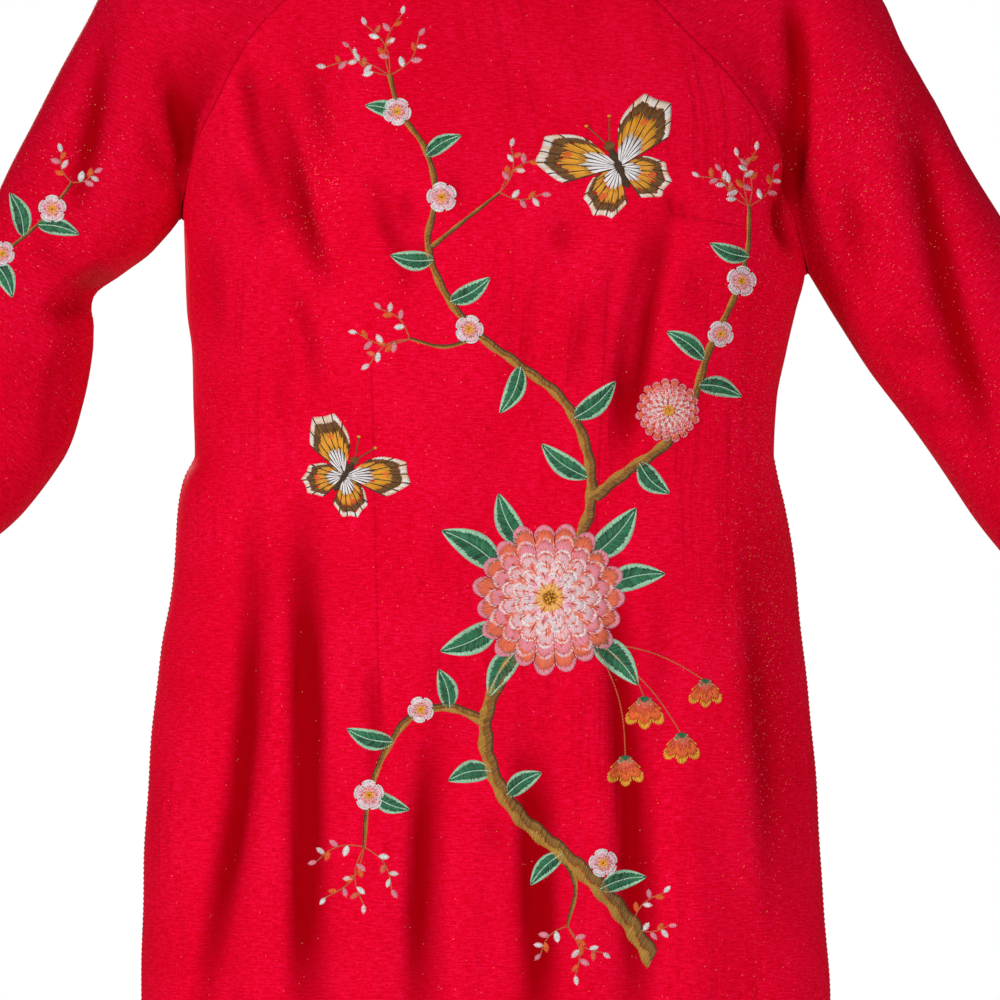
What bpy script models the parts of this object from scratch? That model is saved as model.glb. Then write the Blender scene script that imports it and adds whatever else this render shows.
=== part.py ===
"""An ao dai tunic, hollow and in the shape that it is worn in.

Its cut pieces are a front and a back that run from neck to hem, two raglan sleeves and a stand
collar. The side seams end at the waist, and below them the front and back hang as free panels.
The outer face of the cloth is the zero of a field that is negative inside the tunic: a rounded
body section at each height, joined smoothly to a tube round each arm. A piece is a slab of cells
whose outer points are found on that face along rays, and whose inner points lie one cloth
thickness further in.

Metres, +Z up, the front faces -Y, and left is -X, as seen from the front. The origin is in the
middle of the neck, level with the collar seam at the shoulders. The tables are in millimetres.
"""

import math
from functools import partial

import bmesh
import bpy
import numpy as np

for leftover in list(bpy.data.objects):
    bpy.data.objects.remove(leftover, do_unlink=True)

MM = 0.001

CLOTH = 1.6
COLLAR_CLOTH = 2.4
SEAM_GAP = 0.34
ARMPIT_EASE = 2.5
HEM_HEIGHT = -1270.0
SLIT_HEIGHT = -383.0
SKIRT_CROWDING = 1.35

FRONT_COLUMNS = 48
FRONT_SKIRT_ROWS = 16
BACK_COLUMNS = 32
BACK_SKIRT_ROWS = 13
WAIST_ROWS = 6
RAGLAN_ROWS = 12
SLEEVE_COLUMNS = 20
SLEEVE_ROWS = 17
COLLAR_COLUMNS = 46
COLLAR_ROWS = 3

# The body at each height: its left and right sides, how far its front and back stand from the
# middle, how far forward or back the side edges of each panel lie, and how square it is.
BODY = {
    "height": (6, 0, -14, -28, -45, -62, -90, -130, -180, -221, -264, -290, -315, -347, -383,
               -397, -411, -443, -475, -507, -539, -603, -667, -731, -900, -1100, -1290),
    "left": (-46, -62, -92, -126, -160, -180, -186, -184, -181, -181, -180, -179, -176, -175, -174,
             -180, -183, -186, -189, -194, -197, -202, -204, -205, -209, -213, -215),
    "right": (46, 62, 92, 126, 160, 184, 194, 202, 210, 214, 216, 210, 204, 198, 197,
              199, 202, 207, 211, 214, 217, 222, 226, 229, 233, 237, 239),
    "front": (8, 16, 32, 43, 53, 63, 77, 93, 110, 120, 123, 121, 117, 111, 106,
              106, 107, 112, 117, 121, 124, 126, 125, 123, 118, 114, 112),
    "back": (34, 42, 53, 62, 72, 81, 92, 101, 106, 106, 104, 102, 100, 97, 95,
             96, 98, 104, 112, 120, 126, 131, 130, 127, 118, 110, 106),
    "front_edge": (0, 0, 0, 0, 0, 0, 0, 0, 0, 0, 0, 0, 0, 0, 0,
                   3, 6, 12, 18, 23, 28, 35, 41, 45, 52, 56, 58),
    "back_edge": (0, 0, 0, 0, 0, 0, 0, 0, 0, 0, 0, 0, 0, 0, 0,
                  3, 6, 11, 17, 22, 26, 33, 38, 42, 48, 51, 52),
    "square": (2.0, 2.0, 2.0, 2.05, 2.1, 2.2, 2.3, 2.4, 2.5, 2.55, 2.55, 2.5, 2.5, 2.5, 2.5,
               2.5, 2.5, 2.45, 2.45, 2.4, 2.4, 2.4, 2.35, 2.3, 2.25, 2.2, 2.2),
}

# Each sleeve: the arm's route from the shoulder joint round the elbow to the cuff, and how far the
# cloth stands from the arm's middle at each distance along it.
SLEEVES = {
    "left": {
        "side": -1,
        "joint": (-190, 0, -112),
        "elbow": (-308, -4, -357),
        "cuff": (-467, -58, -527),
        "along": (-60, 0, 60, 95, 130, 154, 172, 190, 205, 236, 270, 300, 345, 420, 540),
        "outer": (50, 52, 53, 54, 55, 55, 55, 55, 55, 55, 55, 54, 52, 49, 43),
        "inner": (54, 56, 57, 58, 51, 39, 33, 39, 45, 54, 62, 62, 56, 49, 42),
        "ahead": (46, 48, 49, 49, 49, 48, 47, 47, 47, 48, 48, 47, 45, 41, 35),
        "behind": (44, 46, 48, 48, 47, 46, 45, 45, 45, 46, 47, 46, 43, 39, 34),
    },
    "right": {
        "side": 1,
        "joint": (196, 0, -112),
        "elbow": (338, -6, -341),
        "cuff": (468, -60, -540),
        "along": (-60, 0, 18, 54, 90, 127, 163, 201, 240, 280, 318, 356, 420, 480, 540),
        "outer": (66, 70, 70, 66, 65, 62, 61, 60, 58, 56, 54, 52, 48, 45, 43),
        "inner": (60, 62, 62, 62, 62, 62, 62, 61, 60, 59, 58, 55, 50, 46, 42),
        "ahead": (50, 52, 52, 52, 52, 51, 51, 50, 48, 47, 45, 43, 40, 37, 35),
        "behind": (48, 50, 50, 50, 50, 50, 49, 48, 46, 45, 43, 41, 38, 35, 34),
    },
}
ELBOW_BEND = 70.0
SLEEVE_SQUARE = 2.1

# The raglan seams in the front view, upward from just above the armpit to the collar, and the line
# along the top of the sleeve that lies across from them, over the shoulder to the collar.
RAGLAN = {
    "left": {
        "front": ((-177, -200), (-168, -177), (-159, -161), (-143, -129),
                  (-130, -111), (-111, -92), (-84, -61), (-52, -27)),
        "back": ((-176, -200), (-166, -176), (-156, -158), (-139, -125),
                 (-122, -100), (-101, -75), (-74, -42), (-45, -9)),
        "top": ((-279, -173), (-266, -148), (-252, -121), (-238, -91), (-222, -68),
                (-196, -52), (-150, -34), (-104, -17), (-62, 0)),
    },
    "right": {
        "front": ((209, -232), (199, -200), (183, -166), (164, -141),
                  (138, -115), (115, -91), (85, -61), (52, -27)),
        "back": ((208, -231), (197, -198), (180, -160), (158, -129),
                 (132, -102), (106, -75), (76, -42), (45, -9)),
        "top": ((322, -197), (304, -164), (286, -131), (265, -93), (246, -69),
                (205, -50), (152, -32), (104, -16), (62, 0)),
    },
}
RAGLAN_CROWDING = 1.6

# How far the middle of the neckline lies below the raglan seams, and how high the collar stands.
NECK_DIP = {"front": 35.0, "back": 5.0}
NECK_DIP_BEGINS = 0.25
COLLAR_HEIGHT = 38.0
COLLAR_CORNER = 15.0
COLLAR_LEAN = 0.14
COLLAR_GAP = 0.6
COLLAR_SPLAY = 0.05

# Folds that hang from the waist: the height where each begins, its place across the panel there
# and at the hem, its width and how far it stands out at the hem.
HANGING_FOLDS = {
    "front": {
        "begins": (-480, -430, -560, -470, -430),
        "at_waist": (-124, -57, 5, 69, 128),
        "at_hem": (-145, -67, 5, 82, 149),
        "width": (24, 25, 24, 22, 25),
        "rise": (12, 13, 12, 13, 12),
    },
    "back": {
        "begins": (-440, -520, -570, -500, -450),
        "at_waist": (-128, -62, 2, 64, 132),
        "at_hem": (-164, -82, -6, 74, 158),
        "width": (27, 25, 24, 26, 28),
        "rise": (11, 13, 12, 13, 11),
    },
}
FOLD_FULL_LENGTH = 480.0

# Troughs in the worn cloth, each from one place to another in the front view, on the front or
# the back: how wide it is and how deep. A trough below zero is a ridge.
TROUGHS = (
    {"face": "front", "start": (-141, -132), "end": (-88, -276), "width": 11, "depth": 4.5},
    {"face": "front", "start": (114, -235), "end": (93, -382), "width": 11, "depth": 3.0},
    {"face": "front", "start": (128, -226), "end": (103, -369), "width": 10, "depth": 2.5},
    {"face": "front", "start": (-134, -412), "end": (-145, -558), "width": 12, "depth": 3.5},
    {"face": "front", "start": (-145, -558), "end": (-168, -745), "width": 14, "depth": 3.5},
    {"face": "front", "start": (-104, -417), "end": (-98, -560), "width": 14, "depth": 3.5},
    {"face": "front", "start": (86, -430), "end": (94, -570), "width": 12, "depth": 3.5},
    {"face": "front", "start": (-178, -150), "end": (-179, -188), "width": 12, "depth": 3.5},
    {"face": "front", "start": (211, -100), "end": (210, -236), "width": 12, "depth": 6.0},
    {"face": "front", "start": (-232, -91), "end": (-241, -193), "width": 15, "depth": 3.5},
    {"face": "front", "start": (-241, -193), "end": (-250, -262), "width": 15, "depth": 3.5},
    {"face": "front", "start": (-234, -277), "end": (-262, -291), "width": 9, "depth": 7.5},
    {"face": "front", "start": (-253, -303), "end": (-259, -372), "width": 10, "depth": -3.5},
    {"face": "front", "start": (284, -157), "end": (310, -289), "width": 15, "depth": 4.5},
    {"face": "front", "start": (310, -289), "end": (328, -396), "width": 15, "depth": 4.0},
    {"face": "front", "start": (245, -222), "end": (245, -272), "width": 11, "depth": 3.0},
    {"face": "back", "start": (-158, -150), "end": (-120, -246), "width": 16, "depth": 5.0},
    {"face": "back", "start": (176, -160), "end": (132, -262), "width": 16, "depth": 5.0},
    {"face": "back", "start": (-60, -330), "end": (70, -342), "width": 13, "depth": 3.0},
    {"face": "back", "start": (-118, -410), "end": (-140, -590), "width": 14, "depth": 3.5},
    {"face": "back", "start": (104, -420), "end": (122, -600), "width": 14, "depth": 3.5},
    {"face": "back", "start": (-232, -180), "end": (-254, -320), "width": 17, "depth": 4.0},
    {"face": "back", "start": (258, -200), "end": (302, -330), "width": 17, "depth": 4.0},
)
FACE_FEATHER = 16.0

# How softly a sleeve runs into the body: widely over the shoulder, tightly under the arm.
SHOULDER_BLEND = 46.0
ARMPIT_BLEND = 7.0
BLEND_HEIGHTS = (-190.0, -90.0)
ARMPIT_SEARCH = (-330.0, -150.0)
ARMPIT_REACH = (-10.0, 30.0)

SILK_RED = (0.80, 0.004, 0.022, 1.0)
SILK_ROUGHNESS = 0.42


def monotone_curve(positions, values, at):
    """A smooth curve through the values that never overshoots them."""
    order = np.argsort(positions)
    x = np.asarray(positions, float)[order]
    y = np.asarray(values, float)[order]
    step = np.diff(x)
    slope = np.diff(y) / step
    same_way = slope[:-1] * slope[1:] > 0
    total = np.where(same_way, slope[:-1] + slope[1:], 1.0)
    inner = np.where(same_way, 2 * slope[:-1] * slope[1:] / total, 0.0)
    tangent = np.concatenate([slope[:1], inner, slope[-1:]])
    i = np.clip(np.searchsorted(x, at) - 1, 0, len(x) - 2)
    t = np.clip((at - x[i]) / step[i], 0, 1)
    bend = tangent[i] * t * (1 - t) ** 2 - tangent[i + 1] * t**2 * (1 - t)
    return y[i] + (y[i + 1] - y[i]) * t**2 * (3 - 2 * t) + step[i] * bend


def smooth_columns(table, key, samples=500):
    """The table's columns as finely sampled smooth curves over its key column."""
    at = np.linspace(min(table[key]), max(table[key]), samples)
    rows = len(table[key])
    columns = {key: at}
    for name, values in table.items():
        if name != key and np.shape(values) == (rows,):
            columns[name] = monotone_curve(table[key], values, at)
    return columns


def smoothstep(low, high, value):
    t = np.clip((value - low) / (high - low), 0, 1)
    return t * t * (3 - 2 * t)


def smooth_minimum(a, b, blend):
    overlap = np.maximum(blend - np.abs(a - b), 0) / blend
    return np.minimum(a, b) - overlap**2 * blend / 4


def unit(vectors):
    return vectors / np.linalg.norm(vectors, axis=-1, keepdims=True)


BODY_CURVES = smooth_columns(BODY, "height")
SLEEVE_CURVES = {name: smooth_columns(sleeve, "along") for name, sleeve in SLEEVES.items()}


def body_size(column, height):
    return np.interp(height, BODY_CURVES["height"], BODY_CURVES[column])


def sleeve_size(name, column, along):
    return np.interp(along, SLEEVE_CURVES[name]["along"], SLEEVE_CURVES[name][column])


def face_sign(face):
    return -1.0 if face == "front" else 1.0


def panel_axis(face, height):
    """The points that a panel's sections at these heights are drawn round."""
    middle = (body_size("left", height) + body_size("right", height)) / 2
    edge = body_size(face + "_edge", height) * face_sign(face)
    return np.stack([middle, edge, np.asarray(height, float)], axis=-1)


def rim_distance(across, depth, half_width, half_depth, square):
    """How far a point lies outside a rounded section, measured along its own radius."""
    reach = np.hypot(across, depth) + 1e-9
    share = (np.abs(across) / half_width) ** square + (np.abs(depth) / half_depth) ** square
    return reach * (1 - 1 / (share ** (1 / square) + 1e-12))


def hanging_fold(face, x, height):
    """How far the hanging folds stand out at a place on a panel."""
    fall = (SLIT_HEIGHT - height) / (SLIT_HEIGHT - HEM_HEIGHT)
    folds = HANGING_FOLDS[face]
    rise = np.zeros_like(x)
    for begins, at_waist, at_hem, width, full_rise in zip(
            folds["begins"], folds["at_waist"], folds["at_hem"], folds["width"], folds["rise"]):
        crest = at_waist + (at_hem - at_waist) * fall
        grown = smoothstep(0, FOLD_FULL_LENGTH, begins - height)
        rise += full_rise * grown * np.exp(-(((x - crest) / width) ** 2))
    return rise


def trough_depth(points, side_depth):
    """How far the troughs press the cloth in, given how far back from the middle it lies."""
    depth = np.zeros(points.shape[:-1])
    place = points[..., [0, 2]]
    for trough in TROUGHS:
        start = np.array(trough["start"], float)
        run = np.array(trough["end"], float) - start
        share = np.clip((place - start) @ run / (run @ run), 0, 1)
        away = np.linalg.norm(place - start - share[..., None] * run, axis=-1)
        facing = smoothstep(-FACE_FEATHER, FACE_FEATHER, side_depth * face_sign(trough["face"]))
        taper = 1 - (2 * share - 1) ** 4 / 2
        depth += trough["depth"] * taper * facing * np.exp(-((away / trough["width"]) ** 2))
    return depth


def body_field(points, face):
    x, y, z = points[..., 0], points[..., 1], points[..., 2]
    axis = panel_axis(face, z)
    across, depth = x - axis[..., 0], y - axis[..., 1]
    half_width = (body_size("right", z) - body_size("left", z)) / 2
    edge = np.abs(axis[..., 1])
    ahead = body_size("front", z) - (edge if face == "front" else 0)
    behind = body_size("back", z) - (edge if face == "back" else 0)
    half_depth = np.where(depth < 0, ahead, behind)
    rim = rim_distance(across, depth, half_width, half_depth, body_size("square", z))
    return rim - hanging_fold(face, x, z) + trough_depth(points, y)


def arm_place(points, name):
    """Where points lie by the arm: the distance along it, outward from it and ahead of it."""
    sleeve = SLEEVES[name]
    joint, elbow, cuff = (np.array(sleeve[end], float) for end in ("joint", "elbow", "cuff"))
    upper, lower = unit(elbow - joint), unit(cuff - elbow)
    bend = math.acos(upper @ lower)
    radius = ELBOW_BEND / math.tan(bend / 2)
    inward = unit(lower - upper * (upper @ lower))
    centre = elbow - ELBOW_BEND * upper + radius * inward
    offset = points - centre
    turn = np.arctan2(offset @ upper, -(offset @ inward))
    held = np.clip(turn, 0, bend)[..., None]
    down = np.cos(held) * upper + np.sin(held) * inward
    middle = centre - radius * (np.cos(held) * inward - np.sin(held) * upper)
    straight = np.linalg.norm(elbow - joint) - ELBOW_BEND
    past = ((points - middle) * down).sum(axis=-1)
    along = straight + radius * held[..., 0] + past
    away, forward = arm_sides(down, sleeve["side"])
    from_axis = points - middle
    return along, (from_axis * away).sum(axis=-1), (from_axis * forward).sum(axis=-1)


def arm_sides(down, side):
    """The ways outward and forward from an arm that runs down this way."""
    away = unit(np.stack([-down[..., 2], np.zeros_like(down[..., 0]), down[..., 0]], axis=-1))
    away = away * side
    forward = np.cross(down, away) * side
    return away, forward


def arm_middle(name, along):
    """The point in the middle of the arm at a distance along it, and the arm's way there."""
    sleeve = SLEEVES[name]
    joint, elbow, cuff = (np.array(sleeve[end], float) for end in ("joint", "elbow", "cuff"))
    upper, lower = unit(elbow - joint), unit(cuff - elbow)
    bend = math.acos(upper @ lower)
    radius = ELBOW_BEND / math.tan(bend / 2)
    inward = unit(lower - upper * (upper @ lower))
    centre = elbow - ELBOW_BEND * upper + radius * inward
    straight = np.linalg.norm(elbow - joint) - ELBOW_BEND
    held = min(max((along - straight) / radius, 0), bend)
    down = math.cos(held) * upper + math.sin(held) * inward
    middle = centre - radius * (math.cos(held) * inward - math.sin(held) * upper)
    return middle + down * (along - straight - radius * held), down


def arm_length(name):
    sleeve = SLEEVES[name]
    joint, elbow, cuff = (np.array(sleeve[end], float) for end in ("joint", "elbow", "cuff"))
    bend = math.acos(unit(elbow - joint) @ unit(cuff - elbow))
    corner = 2 * ELBOW_BEND - ELBOW_BEND / math.tan(bend / 2) * bend
    return np.linalg.norm(elbow - joint) + np.linalg.norm(cuff - elbow) - corner


def arm_field(points, name):
    """The field of the tube round an arm, rounded off at the shoulder joint."""
    along, outward, forward = arm_place(points, name)
    half_width = np.where(outward > 0, sleeve_size(name, "outer", along),
                          sleeve_size(name, "inner", along))
    half_depth = np.where(forward > 0, sleeve_size(name, "ahead", along),
                          sleeve_size(name, "behind", along))
    rim = rim_distance(outward, forward, half_width, half_depth, SLEEVE_SQUARE)
    reach = np.hypot(outward, forward)
    capped = np.hypot(reach, np.minimum(along, 0)) - (reach - rim)
    return capped + trough_depth(points, -forward)


def tunic_field(points, face="front"):
    """The body and both sleeves as one smooth face."""
    blend = ARMPIT_BLEND + (SHOULDER_BLEND - ARMPIT_BLEND) * smoothstep(
        *BLEND_HEIGHTS, points[..., 2])
    field = body_field(points, face)
    for name in SLEEVES:
        field = smooth_minimum(field, arm_field(points, name), blend)
    return field


def face_points(field, starts, ways, reach=260.0, step=2.5, halvings=14):
    """Where rays from inside a field first leave it."""
    ways = unit(ways)
    spans = np.arange(0, reach, step)
    inside = field(starts[:, None, :] + ways[:, None, :] * spans[None, :, None]) < 0
    first_out = np.argmin(inside, axis=1)
    first_out = np.where(inside.all(axis=1), len(spans) - 1, np.maximum(first_out, 1))
    near, far = spans[first_out - 1], spans[first_out]
    for _ in range(halvings):
        middle = (near + far) / 2
        within = field(starts + ways * middle[:, None]) < 0
        near, far = np.where(within, middle, near), np.where(within, far, middle)
    return starts + ways * ((near + far) / 2)[:, None]


def face_normals(field, points, probe=0.8):
    slopes = [field(points + probe * axis) - field(points - probe * axis) for axis in np.eye(3)]
    return unit(np.stack(slopes, axis=-1))


def find_armpit(name, samples=161, halvings=16):
    """The top of the gap between the body and a sleeve."""
    low, high = ARMPIT_SEARCH
    steps = np.linspace(*ARMPIT_REACH, samples) * SLEEVES[name]["side"]
    for _ in range(halvings):
        height = (low + high) / 2
        x = body_size(name, height) + steps
        field = tunic_field(np.stack([x, np.zeros_like(x), np.full_like(x, height)], axis=-1))
        low, high = (height, high) if field.max() > 0 else (low, height)
        place = x[np.argmax(field)]
    return np.array([place, 0.0, low])


ARMPITS = {name: find_armpit(name) for name in SLEEVES}


def line_lengths(line):
    return np.concatenate([[0], np.cumsum(np.linalg.norm(np.diff(line, axis=0), axis=1))])


def even_points(line, count, gap=0.0):
    """Points evenly spaced along a line, kept clear of its two ends by half of the gap."""
    lengths = line_lengths(line)
    at = np.linspace(gap / 2, lengths[-1] - gap / 2, count)
    return np.stack([np.interp(at, lengths, line[:, i]) for i in range(3)], axis=-1)


def place_on_line(line, share):
    """The place at a share of the length of a line in the front view."""
    line = np.array(line, float)
    lengths = line_lengths(line)
    at = np.array([share * lengths[-1]])
    return np.array([monotone_curve(lengths, line[:, i], at)[0] for i in range(2)])


def raglan_shares():
    """How far up the raglan seam each row meets it, closer together above the armpit."""
    return np.linspace(0, 1, RAGLAN_ROWS + 1) ** RAGLAN_CROWDING


def seam_gap(share):
    """How far apart the pieces are at the raglan seam, a little more in the fold at the armpit."""
    return SEAM_GAP * (1 + ARMPIT_EASE * (1 - share) ** 8)


def seam_end(name, share, face):
    """The point on the cloth where a raglan seam passes."""
    if share == 0:
        return ARMPITS[name]
    x, z = place_on_line((ARMPITS[name][[0, 2]], *RAGLAN[name][face]), share)
    return face_points(tunic_field, np.array([[x, 0.0, z]]), np.array([[0, face_sign(face), 0]]))[0]


def raglan_row(face, share, columns):
    """A row of a panel from one raglan seam to the other."""
    left, right = (seam_end(name, share, face) for name in ("left", "right"))
    across = np.linspace(0, 1, columns * 4)
    sign = face_sign(face)
    centre = panel_axis(face, (left[2] + right[2]) / 2)
    ends = [math.atan2(abs(end[1] - centre[1]), end[0] - centre[0]) for end in (left, right)]
    angles = ends[0] + (ends[1] - ends[0]) * across
    dip = NECK_DIP[face] * smoothstep(NECK_DIP_BEGINS, 1, share) * np.sin(np.pi * across)
    starts = np.repeat(centre[None, :], len(across), axis=0)
    starts[:, 2] = left[2] + (right[2] - left[2]) * across - dip
    ways = np.stack([np.cos(angles), np.sin(angles) * sign, np.zeros_like(angles)], axis=-1)
    field = tunic_field if share > 0 else partial(body_field, face=face)
    inner = face_points(field, starts[1:-1], ways[1:-1])
    line = np.concatenate([[left], inner, [right]])
    return even_points(line, columns + 1, seam_gap(share) if share > 0 else SEAM_GAP)


def side_row(face, left_height, right_height, columns):
    """A row of a panel below the armpits, from its left edge round to its right edge."""
    across = np.linspace(0, 1, columns * 5)
    angles = np.pi * (1 - across)
    starts = panel_axis(face, left_height + (right_height - left_height) * across)
    ways = np.stack([np.cos(angles), np.sin(angles) * face_sign(face), np.zeros_like(angles)],
                    axis=-1)
    line = face_points(partial(body_field, face=face), starts, ways)
    return even_points(line, columns + 1, SEAM_GAP)


def panel_grid(face, columns, skirt_rows):
    """The outer points of the front or the back, in rows from hem to neckline, and their normals."""
    falls = np.linspace(1, 0, skirt_rows + 1) ** SKIRT_CROWDING
    rows = [side_row(face, height, height, columns)
            for height in SLIT_HEIGHT + (HEM_HEIGHT - SLIT_HEIGHT) * falls]
    left_armpit, right_armpit = (ARMPITS[name][2] for name in ("left", "right"))
    for share in np.linspace(0, 1, WAIST_ROWS + 1)[1:-1]:
        rows.append(side_row(face, SLIT_HEIGHT + (left_armpit - SLIT_HEIGHT) * share,
                             SLIT_HEIGHT + (right_armpit - SLIT_HEIGHT) * share, columns))
    body_rows = len(rows) + 1
    rows = np.array(rows + [raglan_row(face, share, columns) for share in raglan_shares()])
    return rows, np.concatenate([face_normals(partial(body_field, face=face), rows[:body_rows]),
                                 face_normals(tunic_field, rows[body_rows:])])


def sleeve_ring(name, along, columns):
    """A ring round the arm, from the underarm seam over the front and round to it again."""
    middle, down = arm_middle(name, along)
    away, forward = arm_sides(down, SLEEVES[name]["side"])
    angles = np.linspace(-np.pi, np.pi, columns * 4 + 1)[:, None]
    ways = np.cos(angles) * away - np.sin(angles) * forward
    starts = np.repeat(middle[None, :], len(angles), axis=0)
    line = face_points(partial(arm_field, name=name), starts, ways, reach=110.0)
    return even_points(line, columns + 1)


def sleeve_arc(name, share, columns):
    """A row of the sleeve from the front raglan seam over the shoulder to the back one."""
    front_end, back_end = (seam_end(name, share, face) for face in ("front", "back"))
    if share == 0:
        front_end = back_end = ARMPITS[name] + arm_middle(name, 0.0)[1] * SEAM_GAP
    top_x, top_z = place_on_line(RAGLAN[name]["top"], share)
    between = (front_end + back_end) / 2
    rise = np.array([top_x, between[1], top_z]) - between
    chord = np.array([0, 1.0, 0]) if share == 0 else unit(back_end - front_end)
    rise = unit(rise - chord * (rise @ chord))
    centre = between + 0.42 * (np.array([top_x, between[1], top_z]) - between)
    if share == 0:
        angles = np.linspace(-math.pi / 2, 1.5 * math.pi, columns * 4 + 1)[:, None]
    else:
        ends = [math.atan2((end - centre) @ rise, -((end - centre) @ chord))
                for end in (front_end, back_end)]
        angles = np.linspace(ends[0], ends[1] % (2 * math.pi), columns * 4 + 1)[:, None]
    ways = -np.cos(angles) * chord + np.sin(angles) * rise
    starts = np.repeat(centre[None, :], len(angles), axis=0)
    field = tunic_field if share > 0 else partial(arm_field, name=name)
    inner = face_points(field, starts[1:-1], ways[1:-1], reach=200.0)
    line = np.concatenate([[front_end], inner, [back_end]])
    return even_points(line, columns + 1, seam_gap(share) if share > 0 else 0.0)


def sleeve_grid(name, columns):
    """The outer points of a sleeve, in rings up from the cuff and arcs up to the collar."""
    armpit = arm_place(ARMPITS[name][None, :], name)[0][0]
    cuff = arm_length(name)
    rows = [sleeve_ring(name, along, columns)
            for along in np.linspace(cuff, armpit, SLEEVE_ROWS + 1)[:-1]]
    rows = np.array(rows + [sleeve_arc(name, share, columns) for share in raglan_shares()])
    arm_rows = SLEEVE_ROWS + 1
    return rows, np.concatenate([face_normals(partial(arm_field, name=name), rows[:arm_rows]),
                                 face_normals(tunic_field, rows[arm_rows:])])


def neckline(samples=60):
    """The ring of the neckline, from the middle of the front round by the right and back."""
    front = raglan_row("front", 1.0, samples)
    back = raglan_row("back", 1.0, samples)
    right = sleeve_arc("right", 1.0, samples)
    left = sleeve_arc("left", 1.0, samples)
    half = samples // 2
    return np.concatenate([front[half:], right, back[::-1], left[::-1], front[:half + 1]])


def collar_grid(columns, rows):
    """The outer points of the stand collar, in rows up from its seam, and its outward ways."""
    base = even_points(neckline(), columns + 1, COLLAR_GAP)
    from_end = np.minimum(line_lengths(base), line_lengths(base)[-1] - line_lengths(base))
    corner = np.clip(COLLAR_CORNER - from_end, 0, COLLAR_CORNER)
    height = COLLAR_HEIGHT - COLLAR_CORNER + np.sqrt(COLLAR_CORNER**2 - corner**2)
    outward = base * np.array([1.0, 1.0, 0.0])
    outward = unit(outward)
    splay = np.linspace(1, -1, columns + 1) ** 9 * COLLAR_SPLAY
    grid = []
    for share in np.linspace(0, 1, rows + 1):
        rise = height * share
        row = base - outward * (rise * COLLAR_LEAN)[:, None]
        row[:, 2] += rise + SEAM_GAP
        row[:, 0] += splay * rise
        grid.append(row)
    return np.array(grid), np.repeat(outward[None], rows + 1, axis=0)


def silk(name):
    material = bpy.data.materials.new(name)
    material.use_nodes = True
    shader = material.node_tree.nodes["Principled BSDF"]
    shader.inputs["Base Color"].default_value = SILK_RED
    shader.inputs["Roughness"].default_value = SILK_ROUGHNESS
    shader.inputs["Metallic"].default_value = 0.0
    return material


def add_piece(collection, name, outer, normals, cloth, closed_rows=0):
    """A slab of cells bent so that its two sides become the outer and inner face of the cloth."""
    rows, columns = outer.shape[0] - 1, outer.shape[1] - 1
    bm = bmesh.new()
    bmesh.ops.create_grid(bm, x_segments=columns, y_segments=rows, size=0.5)
    extruded = bmesh.ops.extrude_face_region(bm, geom=bm.faces[:])
    inner = [item for item in extruded["geom"] if isinstance(item, bmesh.types.BMVert)]
    bmesh.ops.translate(bm, verts=inner, vec=(0, 0, 1))
    cell = {v: (round((v.co.y + 0.5) * rows), round((v.co.x + 0.5) * columns), round(v.co.z))
            for v in bm.verts}
    seam = [f for f in bm.faces
            if {cell[v][1] for v in f.verts} in ({0}, {columns})
            and max(cell[v][0] for v in f.verts) <= closed_rows]
    bmesh.ops.delete(bm, geom=seam, context="FACES")
    for v, (row, column, layer) in cell.items():
        v.co = (outer[row, column] - normals[row, column] * cloth * layer) * MM
    joined = [v for v, (row, column, _) in cell.items()
              if row <= closed_rows and column in (0, columns)]
    bmesh.ops.remove_doubles(bm, verts=joined, dist=0.0001)
    bmesh.ops.recalc_face_normals(bm, faces=bm.faces)
    for f in bm.faces:
        f.smooth = True
    mesh = bpy.data.meshes.new(name)
    bm.to_mesh(mesh)
    bm.free()
    mesh.set_sharp_from_angle(angle=math.radians(50))
    mesh.materials.append(silk(name + "_silk"))
    piece = bpy.data.objects.new(name, mesh)
    collection.objects.link(piece)
    return piece


def build_tunic():
    collection = bpy.data.collections.new("ao_dai_tunic")
    bpy.context.scene.collection.children.link(collection)
    panels = {"front": (FRONT_COLUMNS, FRONT_SKIRT_ROWS), "back": (BACK_COLUMNS, BACK_SKIRT_ROWS)}
    for face, (columns, skirt_rows) in panels.items():
        outer, normals = panel_grid(face, columns, skirt_rows)
        add_piece(collection, face + "_panel", outer, normals, CLOTH)
    for name in SLEEVES:
        outer, normals = sleeve_grid(name, SLEEVE_COLUMNS)
        add_piece(collection, "sleeve_" + name, outer, normals, CLOTH, SLEEVE_ROWS)
    collar, outward = collar_grid(COLLAR_COLUMNS, COLLAR_ROWS)
    add_piece(collection, "collar", collar, outward, COLLAR_CLOTH)


build_tunic()
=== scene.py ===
# %% [markdown]
# # An ao dai tunic in slubbed red silk
# The real garment is cut in five pieces: a front and a back that run from neck to hem, two raglan
# sleeves and a stand collar. The model that this script dresses already has those pieces as plain
# walls of the right size. Here each one is made again as finer cloth, with creases, seams, hems,
# stitches and embroidery, and is laid exactly where its plain wall lies.

# %% Load the plain model
import math
from collections import namedtuple
from functools import partial

import bmesh
import bpy
import numpy as np
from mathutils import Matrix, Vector
from mathutils.bvhtree import BVHTree


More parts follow.
